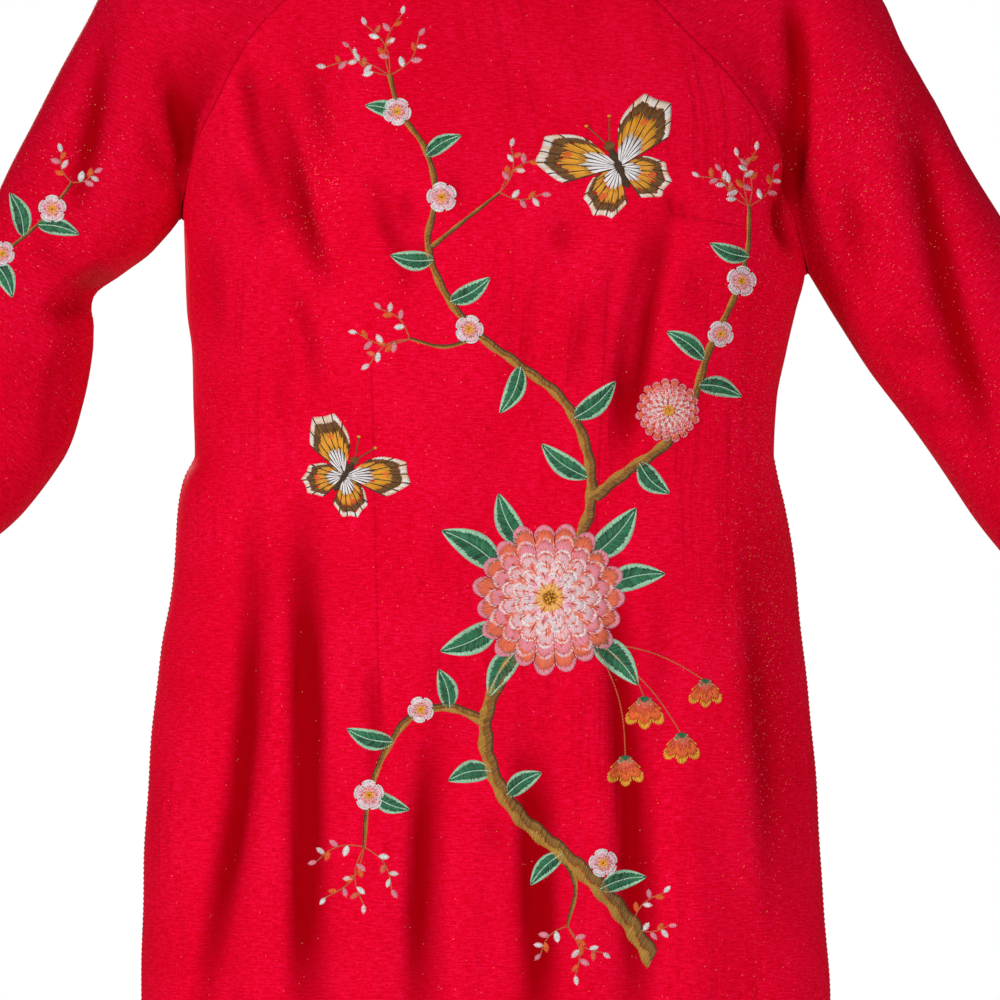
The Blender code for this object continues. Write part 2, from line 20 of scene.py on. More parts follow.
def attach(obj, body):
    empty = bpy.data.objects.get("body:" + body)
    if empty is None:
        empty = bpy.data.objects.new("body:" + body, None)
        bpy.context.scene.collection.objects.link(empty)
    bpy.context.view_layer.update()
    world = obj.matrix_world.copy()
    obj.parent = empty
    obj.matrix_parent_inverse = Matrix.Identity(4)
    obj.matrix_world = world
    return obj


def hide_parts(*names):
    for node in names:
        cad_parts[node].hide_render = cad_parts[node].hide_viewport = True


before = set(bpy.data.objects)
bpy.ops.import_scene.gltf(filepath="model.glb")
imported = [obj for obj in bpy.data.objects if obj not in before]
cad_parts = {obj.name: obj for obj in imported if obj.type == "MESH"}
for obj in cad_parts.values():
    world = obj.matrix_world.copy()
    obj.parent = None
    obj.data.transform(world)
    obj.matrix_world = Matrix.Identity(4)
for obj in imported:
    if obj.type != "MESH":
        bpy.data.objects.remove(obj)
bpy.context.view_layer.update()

MM = 0.001
METRE = 1000


def add_object(name, data):
    thing = bpy.data.objects.new(name, data)
    bpy.context.scene.collection.objects.link(thing)
    return thing


print("nodes:", ", ".join(sorted(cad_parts)))

# %% [markdown]
# ## Camera
# The garment is seen square from the front, from far enough away that its depth hardly spreads it.
# It could be framed by eye, but the view is worked out instead: at four metres, the lens length
# sets how many millimetres of cloth fill the sensor's 36 mm.

# %% Camera
VIEW_WIDTH = 640.0
VIEW_DISTANCE = 4000.0
VIEW_CENTRE = (21.1, -411.0)
SENSOR = 36.0

camera_data = bpy.data.cameras.new("camera")
camera_data.sensor_width = SENSOR
camera_data.lens = SENSOR * VIEW_DISTANCE / VIEW_WIDTH
camera = add_object("camera", camera_data)
camera.location = (VIEW_CENTRE[0] * MM, -VIEW_DISTANCE * MM, VIEW_CENTRE[1] * MM)
camera.rotation_euler = (math.radians(90), 0, 0)
bpy.context.scene.camera = camera
print(f"lens {camera_data.lens:.0f} mm")

# %% [markdown]
# ## The garment's sizes
# Worn cloth has no simple primitive, so its form is kept as short tables of sizes in millimetres:
# the body's section at each height, the route and size of each sleeve, the raglan seams, and the
# folds. Left is -X as seen from the front, and the front faces -Y. The origin is in the middle of
# the neck.

# %% Tables of sizes
CLOTH = 1.6
COLLAR_CLOTH = 2.4
SEAM_GAP = 0.34
ARMPIT_EASE = 2.5
ARMPIT_FADE = 8
HEM_HEIGHT = -1270.0
SLIT_HEIGHT = -383.0

BODY = {
    "height": (6, 0, -14, -28, -45, -62, -90, -130, -180, -221, -264, -290, -315, -347, -383,
               -397, -411, -443, -475, -507, -539, -603, -667, -731, -900, -1100, -1290),
    "left": (-46, -62, -92, -126, -160, -180, -186, -184, -181, -181, -180, -179, -176, -175, -174,
             -180, -183, -186, -189, -194, -197, -202, -204, -205, -209, -213, -215),
    "right": (46, 62, 92, 126, 160, 184, 194, 202, 210, 214, 216, 210, 204, 198, 197,
              199, 202, 207, 211, 214, 217, 222, 226, 229, 233, 237, 239),
    "front": (8, 16, 32, 43, 53, 63, 77, 93, 110, 120, 123, 121, 117, 111, 106,
              106, 107, 112, 117, 121, 124, 126, 125, 123, 118, 114, 112),
    "back": (34, 42, 53, 62, 72, 81, 92, 101, 106, 106, 104, 102, 100, 97, 95,
             96, 98, 104, 112, 120, 126, 131, 130, 127, 118, 110, 106),
    "front_edge": (*[0] * 15, 3, 6, 12, 18, 23, 28, 35, 41, 45, 52, 56, 58),
    "back_edge": (*[0] * 15, 3, 6, 11, 17, 22, 26, 33, 38, 42, 48, 51, 52),
    "square": (2.0, 2.0, 2.0, 2.05, 2.1, 2.2, 2.3, 2.4, 2.5, 2.55, 2.55, 2.5, 2.5, 2.5, 2.5,
               2.5, 2.5, 2.45, 2.45, 2.4, 2.4, 2.4, 2.35, 2.3, 2.25, 2.2, 2.2),
}

SLEEVES = {
    "left": {
        "side": -1,
        "joint": (-190, 0, -112),
        "elbow": (-308, -4, -357),
        "cuff": (-467, -58, -527),
        "along": (-60, 0, 60, 95, 130, 154, 172, 190, 205, 236, 270, 300, 345, 420, 540),
        "outer": (50, 52, 53, 54, 55, 55, 55, 55, 55, 55, 55, 54, 52, 49, 43),
        "inner": (54, 56, 57, 58, 51, 39, 33, 39, 45, 54, 62, 62, 56, 49, 42),
        "ahead": (46, 48, 49, 49, 49, 48, 47, 47, 47, 48, 48, 47, 45, 41, 35),
        "behind": (44, 46, 48, 48, 47, 46, 45, 45, 45, 46, 47, 46, 43, 39, 34),
    },
    "right": {
        "side": 1,
        "joint": (196, 0, -112),
        "elbow": (338, -6, -341),
        "cuff": (468, -60, -540),
        "along": (-60, 0, 18, 54, 90, 127, 163, 201, 240, 280, 318, 356, 420, 480, 540),
        "outer": (66, 70, 70, 66, 65, 62, 61, 60, 58, 56, 54, 52, 48, 45, 43),
        "inner": (60, 62, 62, 62, 62, 62, 62, 61, 60, 59, 58, 55, 50, 46, 42),
        "ahead": (50, 52, 52, 52, 52, 51, 51, 50, 48, 47, 45, 43, 40, 37, 35),
        "behind": (48, 50, 50, 50, 50, 50, 49, 48, 46, 45, 43, 41, 38, 35, 34),
    },
}
ELBOW_BEND = 70.0
SLEEVE_SQUARE = 2.1

RAGLAN = {
    "left": {
        "front": ((-177, -200), (-168, -177), (-159, -161), (-143, -129),
                  (-130, -111), (-111, -92), (-84, -61), (-52, -27)),
        "back": ((-176, -200), (-166, -176), (-156, -158), (-139, -125),
                 (-122, -100), (-101, -75), (-74, -42), (-45, -9)),
        "top": ((-279, -173), (-266, -148), (-252, -121), (-238, -91), (-222, -68),
                (-196, -52), (-150, -34), (-104, -17), (-62, 0)),
    },
    "right": {
        "front": ((209, -232), (199, -200), (183, -166), (164, -141),
                  (138, -115), (115, -91), (85, -61), (52, -27)),
        "back": ((208, -231), (197, -198), (180, -160), (158, -129),
                 (132, -102), (106, -75), (76, -42), (45, -9)),
        "top": ((322, -197), (304, -164), (286, -131), (265, -93), (246, -69),
                (205, -50), (152, -32), (104, -16), (62, 0)),
    },
}
RAGLAN_CROWDING = 1.6

NECK_DIP = {"front": 35.0, "back": 5.0}
NECK_DIP_BEGINS = 0.25
COLLAR_HEIGHT = 38.0
COLLAR_CORNER = 15.0
COLLAR_LEAN = 0.14
COLLAR_GAP = 0.6
COLLAR_SPLAY = 0.05
print(f"body heights: {len(BODY['height'])}, raglan points a side: {len(RAGLAN['left']['front'])}")

# %% [markdown]
# ## Folds
# Three sizes of fold shape the cloth. Hanging folds are the broad pleat-like waves that the skirt
# falls in. Troughs are the large hollows where the cloth is drawn towards the armpits, elbows and
# darts. Creases are the finer lines on top of them, each along its own short route, and one may
# lean so that it is steep on one side and soft on the other.

# %% Tables of folds
def table(columns, rows):
    """A table's rows, each with its values under the names of the columns."""
    return [dict(zip(columns.split(), row)) for row in rows]


def each_fold(tables):
    """Each fold of the two faces, after the name of its face."""
    return [(face, fold) for face, folds in tables.items() for fold in folds]


HANGING_FOLDS = {
    "front": table("begins at_waist at_hem width rise", (
        (-480, -124, -145, 24, 12),
        (-430, -57, -67, 25, 13),
        (-560, 5, 5, 24, 12),
        (-470, 69, 82, 22, 13),
        (-430, 128, 149, 25, 12),
    )),
    "back": table("begins at_waist at_hem width rise", (
        (-440, -128, -164, 27, 11),
        (-520, -62, -82, 25, 13),
        (-570, 2, -6, 24, 12),
        (-500, 64, 74, 26, 13),
        (-450, 132, 158, 28, 11),
    )),
}
FOLD_FULL_LENGTH = 480.0

TROUGHS = {
    "front": table("start end width depth", (
        ((-141, -132), (-88, -276), 11, 4.5),
        ((114, -235), (93, -382), 11, 3.0),
        ((128, -226), (103, -369), 10, 2.5),
        ((-134, -412), (-145, -558), 12, 3.5),
        ((-145, -558), (-168, -745), 14, 3.5),
        ((-104, -417), (-98, -560), 14, 3.5),
        ((86, -430), (94, -570), 12, 3.5),
        ((-178, -150), (-179, -188), 12, 3.5),
        ((211, -100), (210, -236), 12, 6.0),
        ((-232, -91), (-241, -193), 15, 3.5),
        ((-241, -193), (-250, -262), 15, 3.5),
        ((-234, -277), (-262, -291), 9, 7.5),
        ((-253, -303), (-259, -372), 10, -3.5),
        ((284, -157), (310, -289), 15, 4.5),
        ((310, -289), (328, -396), 15, 4.0),
        ((245, -222), (245, -272), 11, 3.0),
    )),
    "back": table("start end width depth", (
        ((-158, -150), (-120, -246), 16, 5.0),
        ((176, -160), (132, -262), 16, 5.0),
        ((-60, -330), (70, -342), 13, 3.0),
        ((-118, -410), (-140, -590), 14, 3.5),
        ((104, -420), (122, -600), 14, 3.5),
        ((-232, -180), (-254, -320), 17, 4.0),
        ((258, -200), (302, -330), 17, 4.0),
    )),
}
FACE_FEATHER = 16.0

CREASES = {
    "front": table("width depth lean route", (
        (6.1, 3.9, -0.3, ((-141, -133), (-134, -180), (-119, -222), (-107, -244))),
        (6.1, 3.3, -0.2, ((-123, -141), (-111, -182), (-103, -216), (-95, -251), (-87, -275))),
        (8, -1.8, 0, ((-150, -142), (-141, -187), (-127, -228))),
        (5.6, 2.7, 0.2, ((-148, -196), (-140, -222), (-134, -239))),
        (7, 1.8, 0, ((-166, -241), (-160, -276), (-156, -315))),
        (6, 2.1, 0.2, ((-120, -267), (-107, -284), (-99, -312), (-94, -342))),
        (9, 2, 0, ((-99, -136), (-94, -168), (-90, -198))),
        (6.1, 2.4, 0.2, ((-60, -206), (-51, -239), (-41, -259), (-36, -283))),
        (5.6, 1.8, 0, ((-38, -216), (-35, -241))),
        (5.6, 1.8, 0, ((-10, -209), (-4, -228))),
        (5.6, 1.5, 0, ((-28, -248), (-24, -269))),
        (12, -1.5, 0, ((-70, -116), (-67, -200))),
        (2.8, 2.2, 0, ((127, -219), (129, -237))),
        (2.8, 2.2, 0, ((135, -221), (137, -239))),
        (2.8, 1.7, 0, ((143, -225), (145, -239))),
        (6.1, 3.3, 0.2, ((114, -248), (104, -285), (98, -316), (96, -350), (99, -382))),
        (6, 3, 0.3, ((126, -236), (120, -262), (113, -299), (108, -337), (103, -378))),
        (6.1, -1.8, 0, ((111, -259), (103, -302), (100, -344))),
        (5.6, 1.8, -0.2, ((93, -254), (88, -291), (86, -329))),
        (6.1, 2, 0, ((77, -283), (71, -316), (72, -342))),
        (8, 1.5, 0, ((143, -257), (145, -302))),
        (6.1, 1.5, 0, ((60, -235), (61, -259))),
        (9, -1.2, 0, ((-107, -366), (-88, -392), (-74, -424))),
        (11, 4.3, 0.2, ((-134, -424), (-132, -475), (-136, -538), (-143, -604), (-153, -654),
         (-165, -721))),
        (12, 5.1, 0.45, ((-109, -424), (-106, -488), (-104, -552), (-105, -654), (-106, -731))),
        (7, -2.1, 0, ((-120, -475), (-119, -539), (-121, -622), (-126, -718))),
        (8, -1.5, 0, ((-81, -488), (-79, -552), (-80, -641))),
        (6.1, 2.4, 0, ((-61, -500), (-56, -552), (-58, -603))),
        (6.1, -1.8, 0, ((-45, -513), (-42, -564), (-43, -622))),
        (8, 3.6, 0.2, ((-24, -552), (-28, -609), (-31, -670), (-32, -730))),
        (8, -1.8, 0, ((7, -596), (4, -641), (1, -705))),
        (5.6, 2.1, 0, ((16, -603), (17, -635))),
        (12, 4.9, 0.45, ((31, -558), (38, -603), (40, -648), (42, -699), (43, -737))),
        (10, 3.9, 0.4, ((90, -449), (93, -513), (97, -577), (101, -648), (106, -731))),
        (9, -2, 0, ((76, -488), (79, -577), (84, -667))),
        (8, 2, 0, ((122, -468), (122, -577))),
        (10, -1.8, 0, ((131, -539), (140, -635), (149, -724))),
        (15, 4.3, 0.4, ((177, -411), (182, -500), (188, -590), (194, -692))),
        (12, 3.9, 0.3, ((-106, -737), (-111, -859), (-116, -1051), (-122, -1230))),
        (12, 3.6, 0.3, ((34, -731), (31, -859), (29, -1051), (26, -1236))),
        (12, 3.3, -0.2, ((111, -734), (118, -891), (124, -1051), (129, -1230))),
        (11, 3, 0.2, ((-167, -731), (-173, -891), (-177, -1115))),
        (9, 4.2, 0.2, ((-232, -104), (-236, -157), (-243, -200), (-248, -235))),
        (10, -2.7, 0, ((-203, -152), (-213, -193), (-224, -233))),
        (6.1, 3.6, 0.1, ((-193, -123), (-189, -150), (-182, -187), (-181, -212))),
        (6.1, 2.7, 0, ((-184, -216), (-198, -187), (-209, -161))),
        (8, 3, 0.2, ((-227, -262), (-240, -275), (-254, -283))),
        (7, 2.2, 0, ((-236, -288), (-254, -294), (-271, -293))),
        (8, 3.6, 0.2, ((-253, -294), (-262, -340), (-267, -385))),
        (10, -2.4, 0, ((-280, -273), (-285, -315), (-296, -360))),
        (6, 2.4, 0, ((-273, -244), (-260, -259), (-244, -266))),
        (9, 2.7, 0, ((-312, -347), (-337, -392), (-369, -436))),
        (8, 2.4, 0.2, ((-292, -398), (-324, -436), (-356, -468))),
        (6, 1.8, 0, ((-395, -449), (-420, -475))),
        (12, 5.1, -0.25, ((286, -155), (294, -223), (307, -290), (324, -349), (332, -392))),
        (8, 2.4, 0.2, ((237, -200), (243, -244), (249, -283))),
        (9, -2.1, 0, ((221, -116), (221, -180), (217, -251))),
        (6, 4.8, 0.2, ((202, -88), (211, -142), (211, -187), (199, -228), (202, -259))),
        (6.1, 3.3, 0, ((194, -212), (198, -239), (210, -256))),
        (11, -2, 0, ((259, -168), (272, -238), (287, -302))),
        (7, 2.1, 0, ((264, -302), (280, -315), (300, -316))),
        (6, 2.1, 0, ((277, -347), (296, -360), (316, -360))),
        (9, 3, 0.2, ((348, -379), (373, -417), (402, -456))),
        (8, 2.4, 0, ((341, -424), (367, -462), (396, -494))),
        (6, 1.8, 0, ((424, -468), (447, -491))),
    )),
    "back": table("width depth lean route", (
        (9, 3.6, 0.2, ((-152, -148), (-131, -193), (-107, -244))),
        (8, 2.5, 0, ((-120, -168), (-103, -212), (-88, -264))),
        (9, 3.6, -0.2, ((162, -148), (143, -193), (120, -251))),
        (8, 2.5, 0, ((130, -174), (116, -219), (99, -270))),
        (14, 2, 0, ((-11, -148), (-8, -219), (-10, -302))),
        (7, 2.5, 0.2, ((-107, -329), (-43, -337), (8, -334))),
        (7, 2.2, 0, ((2, -346), (60, -343), (111, -333))),
        (8, 1.7, 0, ((-81, -360), (-30, -365), (21, -362))),
        (10, 3.6, 0.2, ((-139, -411), (-141, -488), (-145, -603), (-154, -718))),
        (10, 3.1, -0.3, ((-107, -449), (-103, -539), (-107, -667))),
        (11, 3.4, 0.3, ((-43, -500), (-44, -603), (-48, -731), (-52, -891))),
        (11, 3.4, -0.3, ((34, -500), (36, -616), (39, -769), (40, -923))),
        (10, 3.1, 0.3, ((111, -436), (118, -539), (126, -667))),
        (12, 3.4, 0, ((168, -424), (178, -539), (188, -699))),
        (12, 3.1, -0.2, ((-120, -763), (-127, -923), (-134, -1179))),
        (12, 3.1, 0.2, ((98, -731), (111, -923), (118, -1179))),
        (10, 3.4, 0, ((-230, -110), (-236, -174), (-245, -232))),
        (8, 2.2, 0, ((-196, -142), (-203, -187), (-217, -232))),
        (9, 2.5, 0, ((-241, -283), (-257, -334), (-269, -379))),
        (9, 2.2, 0, ((-273, -302), (-286, -347), (-312, -392))),
        (8, 2, 0, ((-337, -411), (-369, -443), (-401, -475))),
        (11, 3.6, 0, ((277, -148), (287, -219), (303, -289))),
        (8, 2.2, 0, ((239, -161), (246, -219), (255, -276))),
        (9, 2.5, 0, ((303, -334), (325, -372), (348, -411))),
        (8, 2, 0, ((367, -430), (399, -468), (431, -494))),
    )),
}
for face, rows in CREASES.items():
    print(f"{face}: {len(TROUGHS[face])} troughs, {len(rows)} creases")

# %% [markdown]
# ## The worn form
# The cloth's outer face is kept as a field, a rule that gives a number below zero inside the
# garment and above zero outside. A rounded section at each height makes the body, a tube round a
# bent line makes each sleeve, and a smooth minimum joins them without a ridge. A surface made like
# this can be asked for a point anywhere, so two pieces cut from it always meet at their seam.

# %% Curves and blends
def monotone_curve(positions, values, at):
    """A smooth curve through the values that never overshoots them."""
    order = np.argsort(positions)
    x = np.asarray(positions, float)[order]
    y = np.asarray(values, float)[order]
    step = np.diff(x)
    slope = np.diff(y) / step
    same_way = slope[:-1] * slope[1:] > 0
    total = np.where(same_way, slope[:-1] + slope[1:], 1.0)
    inner = np.where(same_way, 2 * slope[:-1] * slope[1:] / total, 0.0)
    tangent = np.concatenate([slope[:1], inner, slope[-1:]])
    i = np.clip(np.searchsorted(x, at) - 1, 0, len(x) - 2)
    t = np.clip((at - x[i]) / step[i], 0, 1)
    bend = tangent[i] * t * (1 - t) ** 2 - tangent[i + 1] * t**2 * (1 - t)
    return y[i] + (y[i + 1] - y[i]) * t**2 * (3 - 2 * t) + step[i] * bend


def smooth_columns(table, key, samples=500):
    at = np.linspace(min(table[key]), max(table[key]), samples)
    columns = {key: at}
    for name, values in table.items():
        if name != key and np.shape(values) == (len(table[key]),):
            columns[name] = monotone_curve(table[key], values, at)
    return columns


def smoothstep(low, high, value):
    t = np.clip((value - low) / (high - low), 0, 1)
    return t * t * (3 - 2 * t)


def smooth_minimum(a, b, blend):
    overlap = np.maximum(blend - np.abs(a - b), 0) / blend
    return np.minimum(a, b) - overlap**2 * blend / 4


def unit(vectors):
    return vectors / np.linalg.norm(vectors, axis=-1, keepdims=True)


BODY_CURVES = smooth_columns(BODY, "height")
SLEEVE_CURVES = {name: smooth_columns(sleeve, "along") for name, sleeve in SLEEVES.items()}


def body_size(column, height):
    return np.interp(height, BODY_CURVES["height"], BODY_CURVES[column])


def sleeve_size(name, column, along):
    return np.interp(along, SLEEVE_CURVES[name]["along"], SLEEVE_CURVES[name][column])


def face_sign(face):
    return -1.0 if face == "front" else 1.0


print(f"waist width {body_size('right', SLIT_HEIGHT) - body_size('left', SLIT_HEIGHT):.0f} mm")

# %% The body and the sleeves as one field
SHOULDER_BLEND = 46.0
ARMPIT_BLEND = 7.0
BLEND_HEIGHTS = (-190.0, -90.0)


def panel_axis(face, height):
    """The points that a panel's sections at these heights are drawn round."""
    middle = (body_size("left", height) + body_size("right", height)) / 2
    edge = body_size(face + "_edge", height) * face_sign(face)
    return np.stack([middle, edge, np.asarray(height, float)], axis=-1)


def rim_distance(across, depth, half_width, half_depth, square):
    """How far a point lies outside a rounded section, measured along its own radius."""
    reach = np.hypot(across, depth) + 1e-9
    share = (np.abs(across) / half_width) ** square + (np.abs(depth) / half_depth) ** square
    return reach * (1 - 1 / (share ** (1 / square) + 1e-12))


def hanging_fold(face, x, height):
    fall = (SLIT_HEIGHT - height) / (SLIT_HEIGHT - HEM_HEIGHT)
    rise = np.zeros_like(x)
    for fold in HANGING_FOLDS[face]:
        crest = fold["at_waist"] + (fold["at_hem"] - fold["at_waist"]) * fall
        grown = smoothstep(0, FOLD_FULL_LENGTH, fold["begins"] - height)
        rise += fold["rise"] * grown * np.exp(-(((x - crest) / fold["width"]) ** 2))
    return rise


def both_facings(side_depth):
    return {face: smoothstep(-FACE_FEATHER, FACE_FEATHER, side_depth * face_sign(face))
            for face in ("front", "back")}


def trough_depth(points, side_depth):
    depth = np.zeros(points.shape[:-1])
    x, z = points[..., 0], points[..., 2]
    facing = both_facings(side_depth)
    for face, trough in each_fold(TROUGHS):
        start_x, start_z = trough["start"]
        run_x, run_z = trough["end"][0] - start_x, trough["end"][1] - start_z
        share = ((x - start_x) * run_x + (z - start_z) * run_z) / (run_x**2 + run_z**2)
        share = np.clip(share, 0, 1)
        away = (x - start_x - share * run_x) ** 2 + (z - start_z - share * run_z) ** 2
        taper = 1 - (2 * share - 1) ** 4 / 2
        depth += trough["depth"] * taper * facing[face] * np.exp(-away / trough["width"] ** 2)
    return depth


def body_field(points, face):
    x, y, z = points[..., 0], points[..., 1], points[..., 2]
    axis = panel_axis(face, z)
    across, depth = x - axis[..., 0], y - axis[..., 1]
    half_width = (body_size("right", z) - body_size("left", z)) / 2
    edge = np.abs(axis[..., 1])
    ahead = body_size("front", z) - (edge if face == "front" else 0)
    behind = body_size("back", z) - (edge if face == "back" else 0)
    half_depth = np.where(depth < 0, ahead, behind)
    rim = rim_distance(across, depth, half_width, half_depth, body_size("square", z))
    return rim - hanging_fold(face, x, z) + trough_depth(points, y)


def arm_frame(name):
    """A sleeve's ways down and inward, its bend, the bend's centre and radius, and its lengths.

    The lengths are how long it is before the bend, and in all.
    """
    sleeve = SLEEVES[name]
    joint, elbow, cuff = (np.array(sleeve[end], float) for end in ("joint", "elbow", "cuff"))
    upper, lower = unit(elbow - joint), unit(cuff - elbow)
    bend = math.acos(upper @ lower)
    radius = ELBOW_BEND / math.tan(bend / 2)
    inward = unit(lower - upper * (upper @ lower))
    centre = elbow - ELBOW_BEND * upper + radius * inward
    straight = np.linalg.norm(elbow - joint) - ELBOW_BEND
    whole = straight + radius * bend + np.linalg.norm(cuff - elbow) - ELBOW_BEND
    return upper, inward, bend, centre, radius, straight, whole


def arm_sides(down, side):
    """The ways outward and forward from an arm that runs down this way."""
    level = np.stack([-down[..., 2], np.zeros_like(down[..., 0]), down[..., 0]], axis=-1)
    away = unit(level) * side
    return away, np.cross(down, away) * side


def arm_place(points, name):
    """Where points lie by the arm: the distance along it, outward from it and ahead of it."""
    upper, inward, bend, centre, radius, straight, _ = arm_frame(name)
    offset = points - centre
    held = np.clip(np.arctan2(offset @ upper, -(offset @ inward)), 0, bend)[..., None]
    down = np.cos(held) * upper + np.sin(held) * inward
    middle = centre - radius * (np.cos(held) * inward - np.sin(held) * upper)
    from_axis = points - middle
    along = straight + radius * held[..., 0] + (from_axis * down).sum(axis=-1)
    away, forward = arm_sides(down, SLEEVES[name]["side"])
    return along, (from_axis * away).sum(axis=-1), (from_axis * forward).sum(axis=-1)


def arm_middle(name, along):
    """The point in the middle of the arm at a distance along it, and the arm's way there."""
    upper, inward, bend, centre, radius, straight, _ = arm_frame(name)
    held = min(max((along - straight) / radius, 0), bend)
    down = math.cos(held) * upper + math.sin(held) * inward
    middle = centre - radius * (math.cos(held) * inward - math.sin(held) * upper)
    return middle + down * (along - straight - radius * held), down


def arm_field(points, name):
    along, outward, forward = arm_place(points, name)
    half_width = np.where(outward > 0, sleeve_size(name, "outer", along),
                          sleeve_size(name, "inner", along))
    half_depth = np.where(forward > 0, sleeve_size(name, "ahead", along),
                          sleeve_size(name, "behind", along))
    rim = rim_distance(outward, forward, half_width, half_depth, SLEEVE_SQUARE)
    reach = np.hypot(outward, forward)
    capped = np.hypot(reach, np.minimum(along, 0)) - (reach - rim)
    return capped + trough_depth(points, -forward)


def tunic_field(points):
    blend = ARMPIT_BLEND + (SHOULDER_BLEND - ARMPIT_BLEND) * smoothstep(
        *BLEND_HEIGHTS, points[..., 2])
    field = body_field(points, "front")
    for name in SLEEVES:
        field = smooth_minimum(field, arm_field(points, name), blend)
    return field


for name in SLEEVES:
    print(f"{name} sleeve length along the arm {arm_frame(name)[-1]:.0f} mm")

# %% [markdown]
# A ray from inside the garment leaves the field where the cloth's outer face is, and halving the
# last step finds the place. The slope of the field there is the way that the cloth faces.

# %% Points and ways on the cloth
def face_points(field, starts, ways, reach=260.0, step=2.5, halvings=12):
    ways = unit(ways)
    spans = np.arange(0, reach, step)
    inside = field(starts[:, None, :] + ways[:, None, :] * spans[None, :, None]) < 0
    first_out = np.argmin(inside, axis=1)
    first_out = np.where(inside.all(axis=1), len(spans) - 1, np.maximum(first_out, 1))
    near, far = spans[first_out - 1], spans[first_out]
    for _ in range(halvings):
        middle = (near + far) / 2
        within = field(starts + ways * middle[:, None]) < 0
        near, far = np.where(within, middle, near), np.where(within, far, middle)
    return starts + ways * ((near + far) / 2)[:, None]


def field_slopes(field, points, probe=0.8):
    steps = [field(points + probe * axis) - field(points - probe * axis) for axis in np.eye(3)]
    return np.stack(steps, axis=-1) / (2 * probe)


def settle(field, points, rounds=2):
    """Moves points that are nearly on the cloth's face exactly onto it."""
    for _ in range(rounds):
        slopes = field_slopes(field, points)
        points = points - slopes * (field(points) / (slopes**2).sum(axis=-1))[..., None]
    return points


ARMPIT_HEIGHTS = (-330.0, -150.0)
ARMPIT_ACROSS = (-10.0, 30.0)


def find_armpit(name, samples=161, halvings=16):
    """The top of the gap between the body and a sleeve."""
    low, high = ARMPIT_HEIGHTS
    steps = np.linspace(*ARMPIT_ACROSS, samples) * SLEEVES[name]["side"]
    for _ in range(halvings):
        height = (low + high) / 2
        x = body_size(name, height) + steps
        field = tunic_field(np.stack([x, np.zeros_like(x), np.full_like(x, height)], axis=-1))
        low, high = (height, high) if field.max() > 0 else (low, height)
        place = x[np.argmax(field)]
    return np.array([place, 0.0, low])


ARMPITS = {name: find_armpit(name) for name in SLEEVES}
for name, armpit in ARMPITS.items():
    print(f"{name} armpit at", armpit.round(0))

# %% [markdown]
# ## Rows of each cut piece
# A piece is woven as rows from one of its edges to the other. Below the armpits the rows run round
# the body or the arm, and above them from raglan seam to raglan seam. Rays find the rows at a
# fair spacing, the points between them are filled in, and each is then settled on the face.

# %% Seam lines
def line_lengths(line):
    return np.concatenate([[0], np.cumsum(np.linalg.norm(np.diff(line, axis=0), axis=1))])


def points_at(line, at, values=None):
    """A line's points, or other values kept at them, at distances along the line."""
    lengths = line_lengths(line)
    columns = (line if values is None else values).T
    return np.stack([np.interp(at, lengths, column) for column in columns], axis=-1)


def place_on_line(line, share):
    line = np.array(line, float)
    lengths = line_lengths(line)
    at = np.array([share * lengths[-1]])
    return np.array([monotone_curve(lengths, column, at)[0] for column in line.T])


def seam_end(name, share, face):
    if share == 0:
        return ARMPITS[name]
    x, z = place_on_line((ARMPITS[name][[0, 2]], *RAGLAN[name][face]), share)
    out = np.array([[0, face_sign(face), 0]])
    return face_points(tunic_field, np.array([[x, 0.0, z]]), out)[0]


# %% Rows of the front and back
ROW_SAMPLES = 120


def level_ways(angles, face):
    away = np.sin(angles) * face_sign(face)
    return np.stack([np.cos(angles), away, np.zeros_like(angles)], axis=-1)


def raglan_row(face, share):
    left, right = (seam_end(name, share, face) for name in ("left", "right"))
    across = np.linspace(0, 1, ROW_SAMPLES)
    centre = panel_axis(face, (left[2] + right[2]) / 2)
    ends = [math.atan2(abs(end[1] - centre[1]), end[0] - centre[0]) for end in (left, right)]
    ways = level_ways(ends[0] + (ends[1] - ends[0]) * across, face)
    dip = NECK_DIP[face] * smoothstep(NECK_DIP_BEGINS, 1, share) * np.sin(np.pi * across)
    starts = np.repeat(centre[None, :], ROW_SAMPLES, axis=0)
    starts[:, 2] = left[2] + (right[2] - left[2]) * across - dip
    field = tunic_field if share > 0 else partial(body_field, face=face)
    inner = face_points(field, starts[1:-1], ways[1:-1])
    return np.concatenate([[left], inner, [right]])


def side_row(face, left_height, right_height):
    across = np.linspace(0, 1, ROW_SAMPLES)
    starts = panel_axis(face, left_height + (right_height - left_height) * across)
    ways = level_ways(np.pi * (1 - across), face)
    return face_points(partial(body_field, face=face), starts, ways, step=5.0)


# %% Rows of the sleeves
ARC_CENTRE = 0.42


def sleeve_ring(name, along):
    middle, down = arm_middle(name, along)
    away, forward = arm_sides(down, SLEEVES[name]["side"])
    angles = np.linspace(-np.pi, np.pi, ROW_SAMPLES)[:, None]
    ways = np.cos(angles) * away - np.sin(angles) * forward
    starts = np.repeat(middle[None, :], ROW_SAMPLES, axis=0)
    return face_points(partial(arm_field, name=name), starts, ways, reach=110.0)


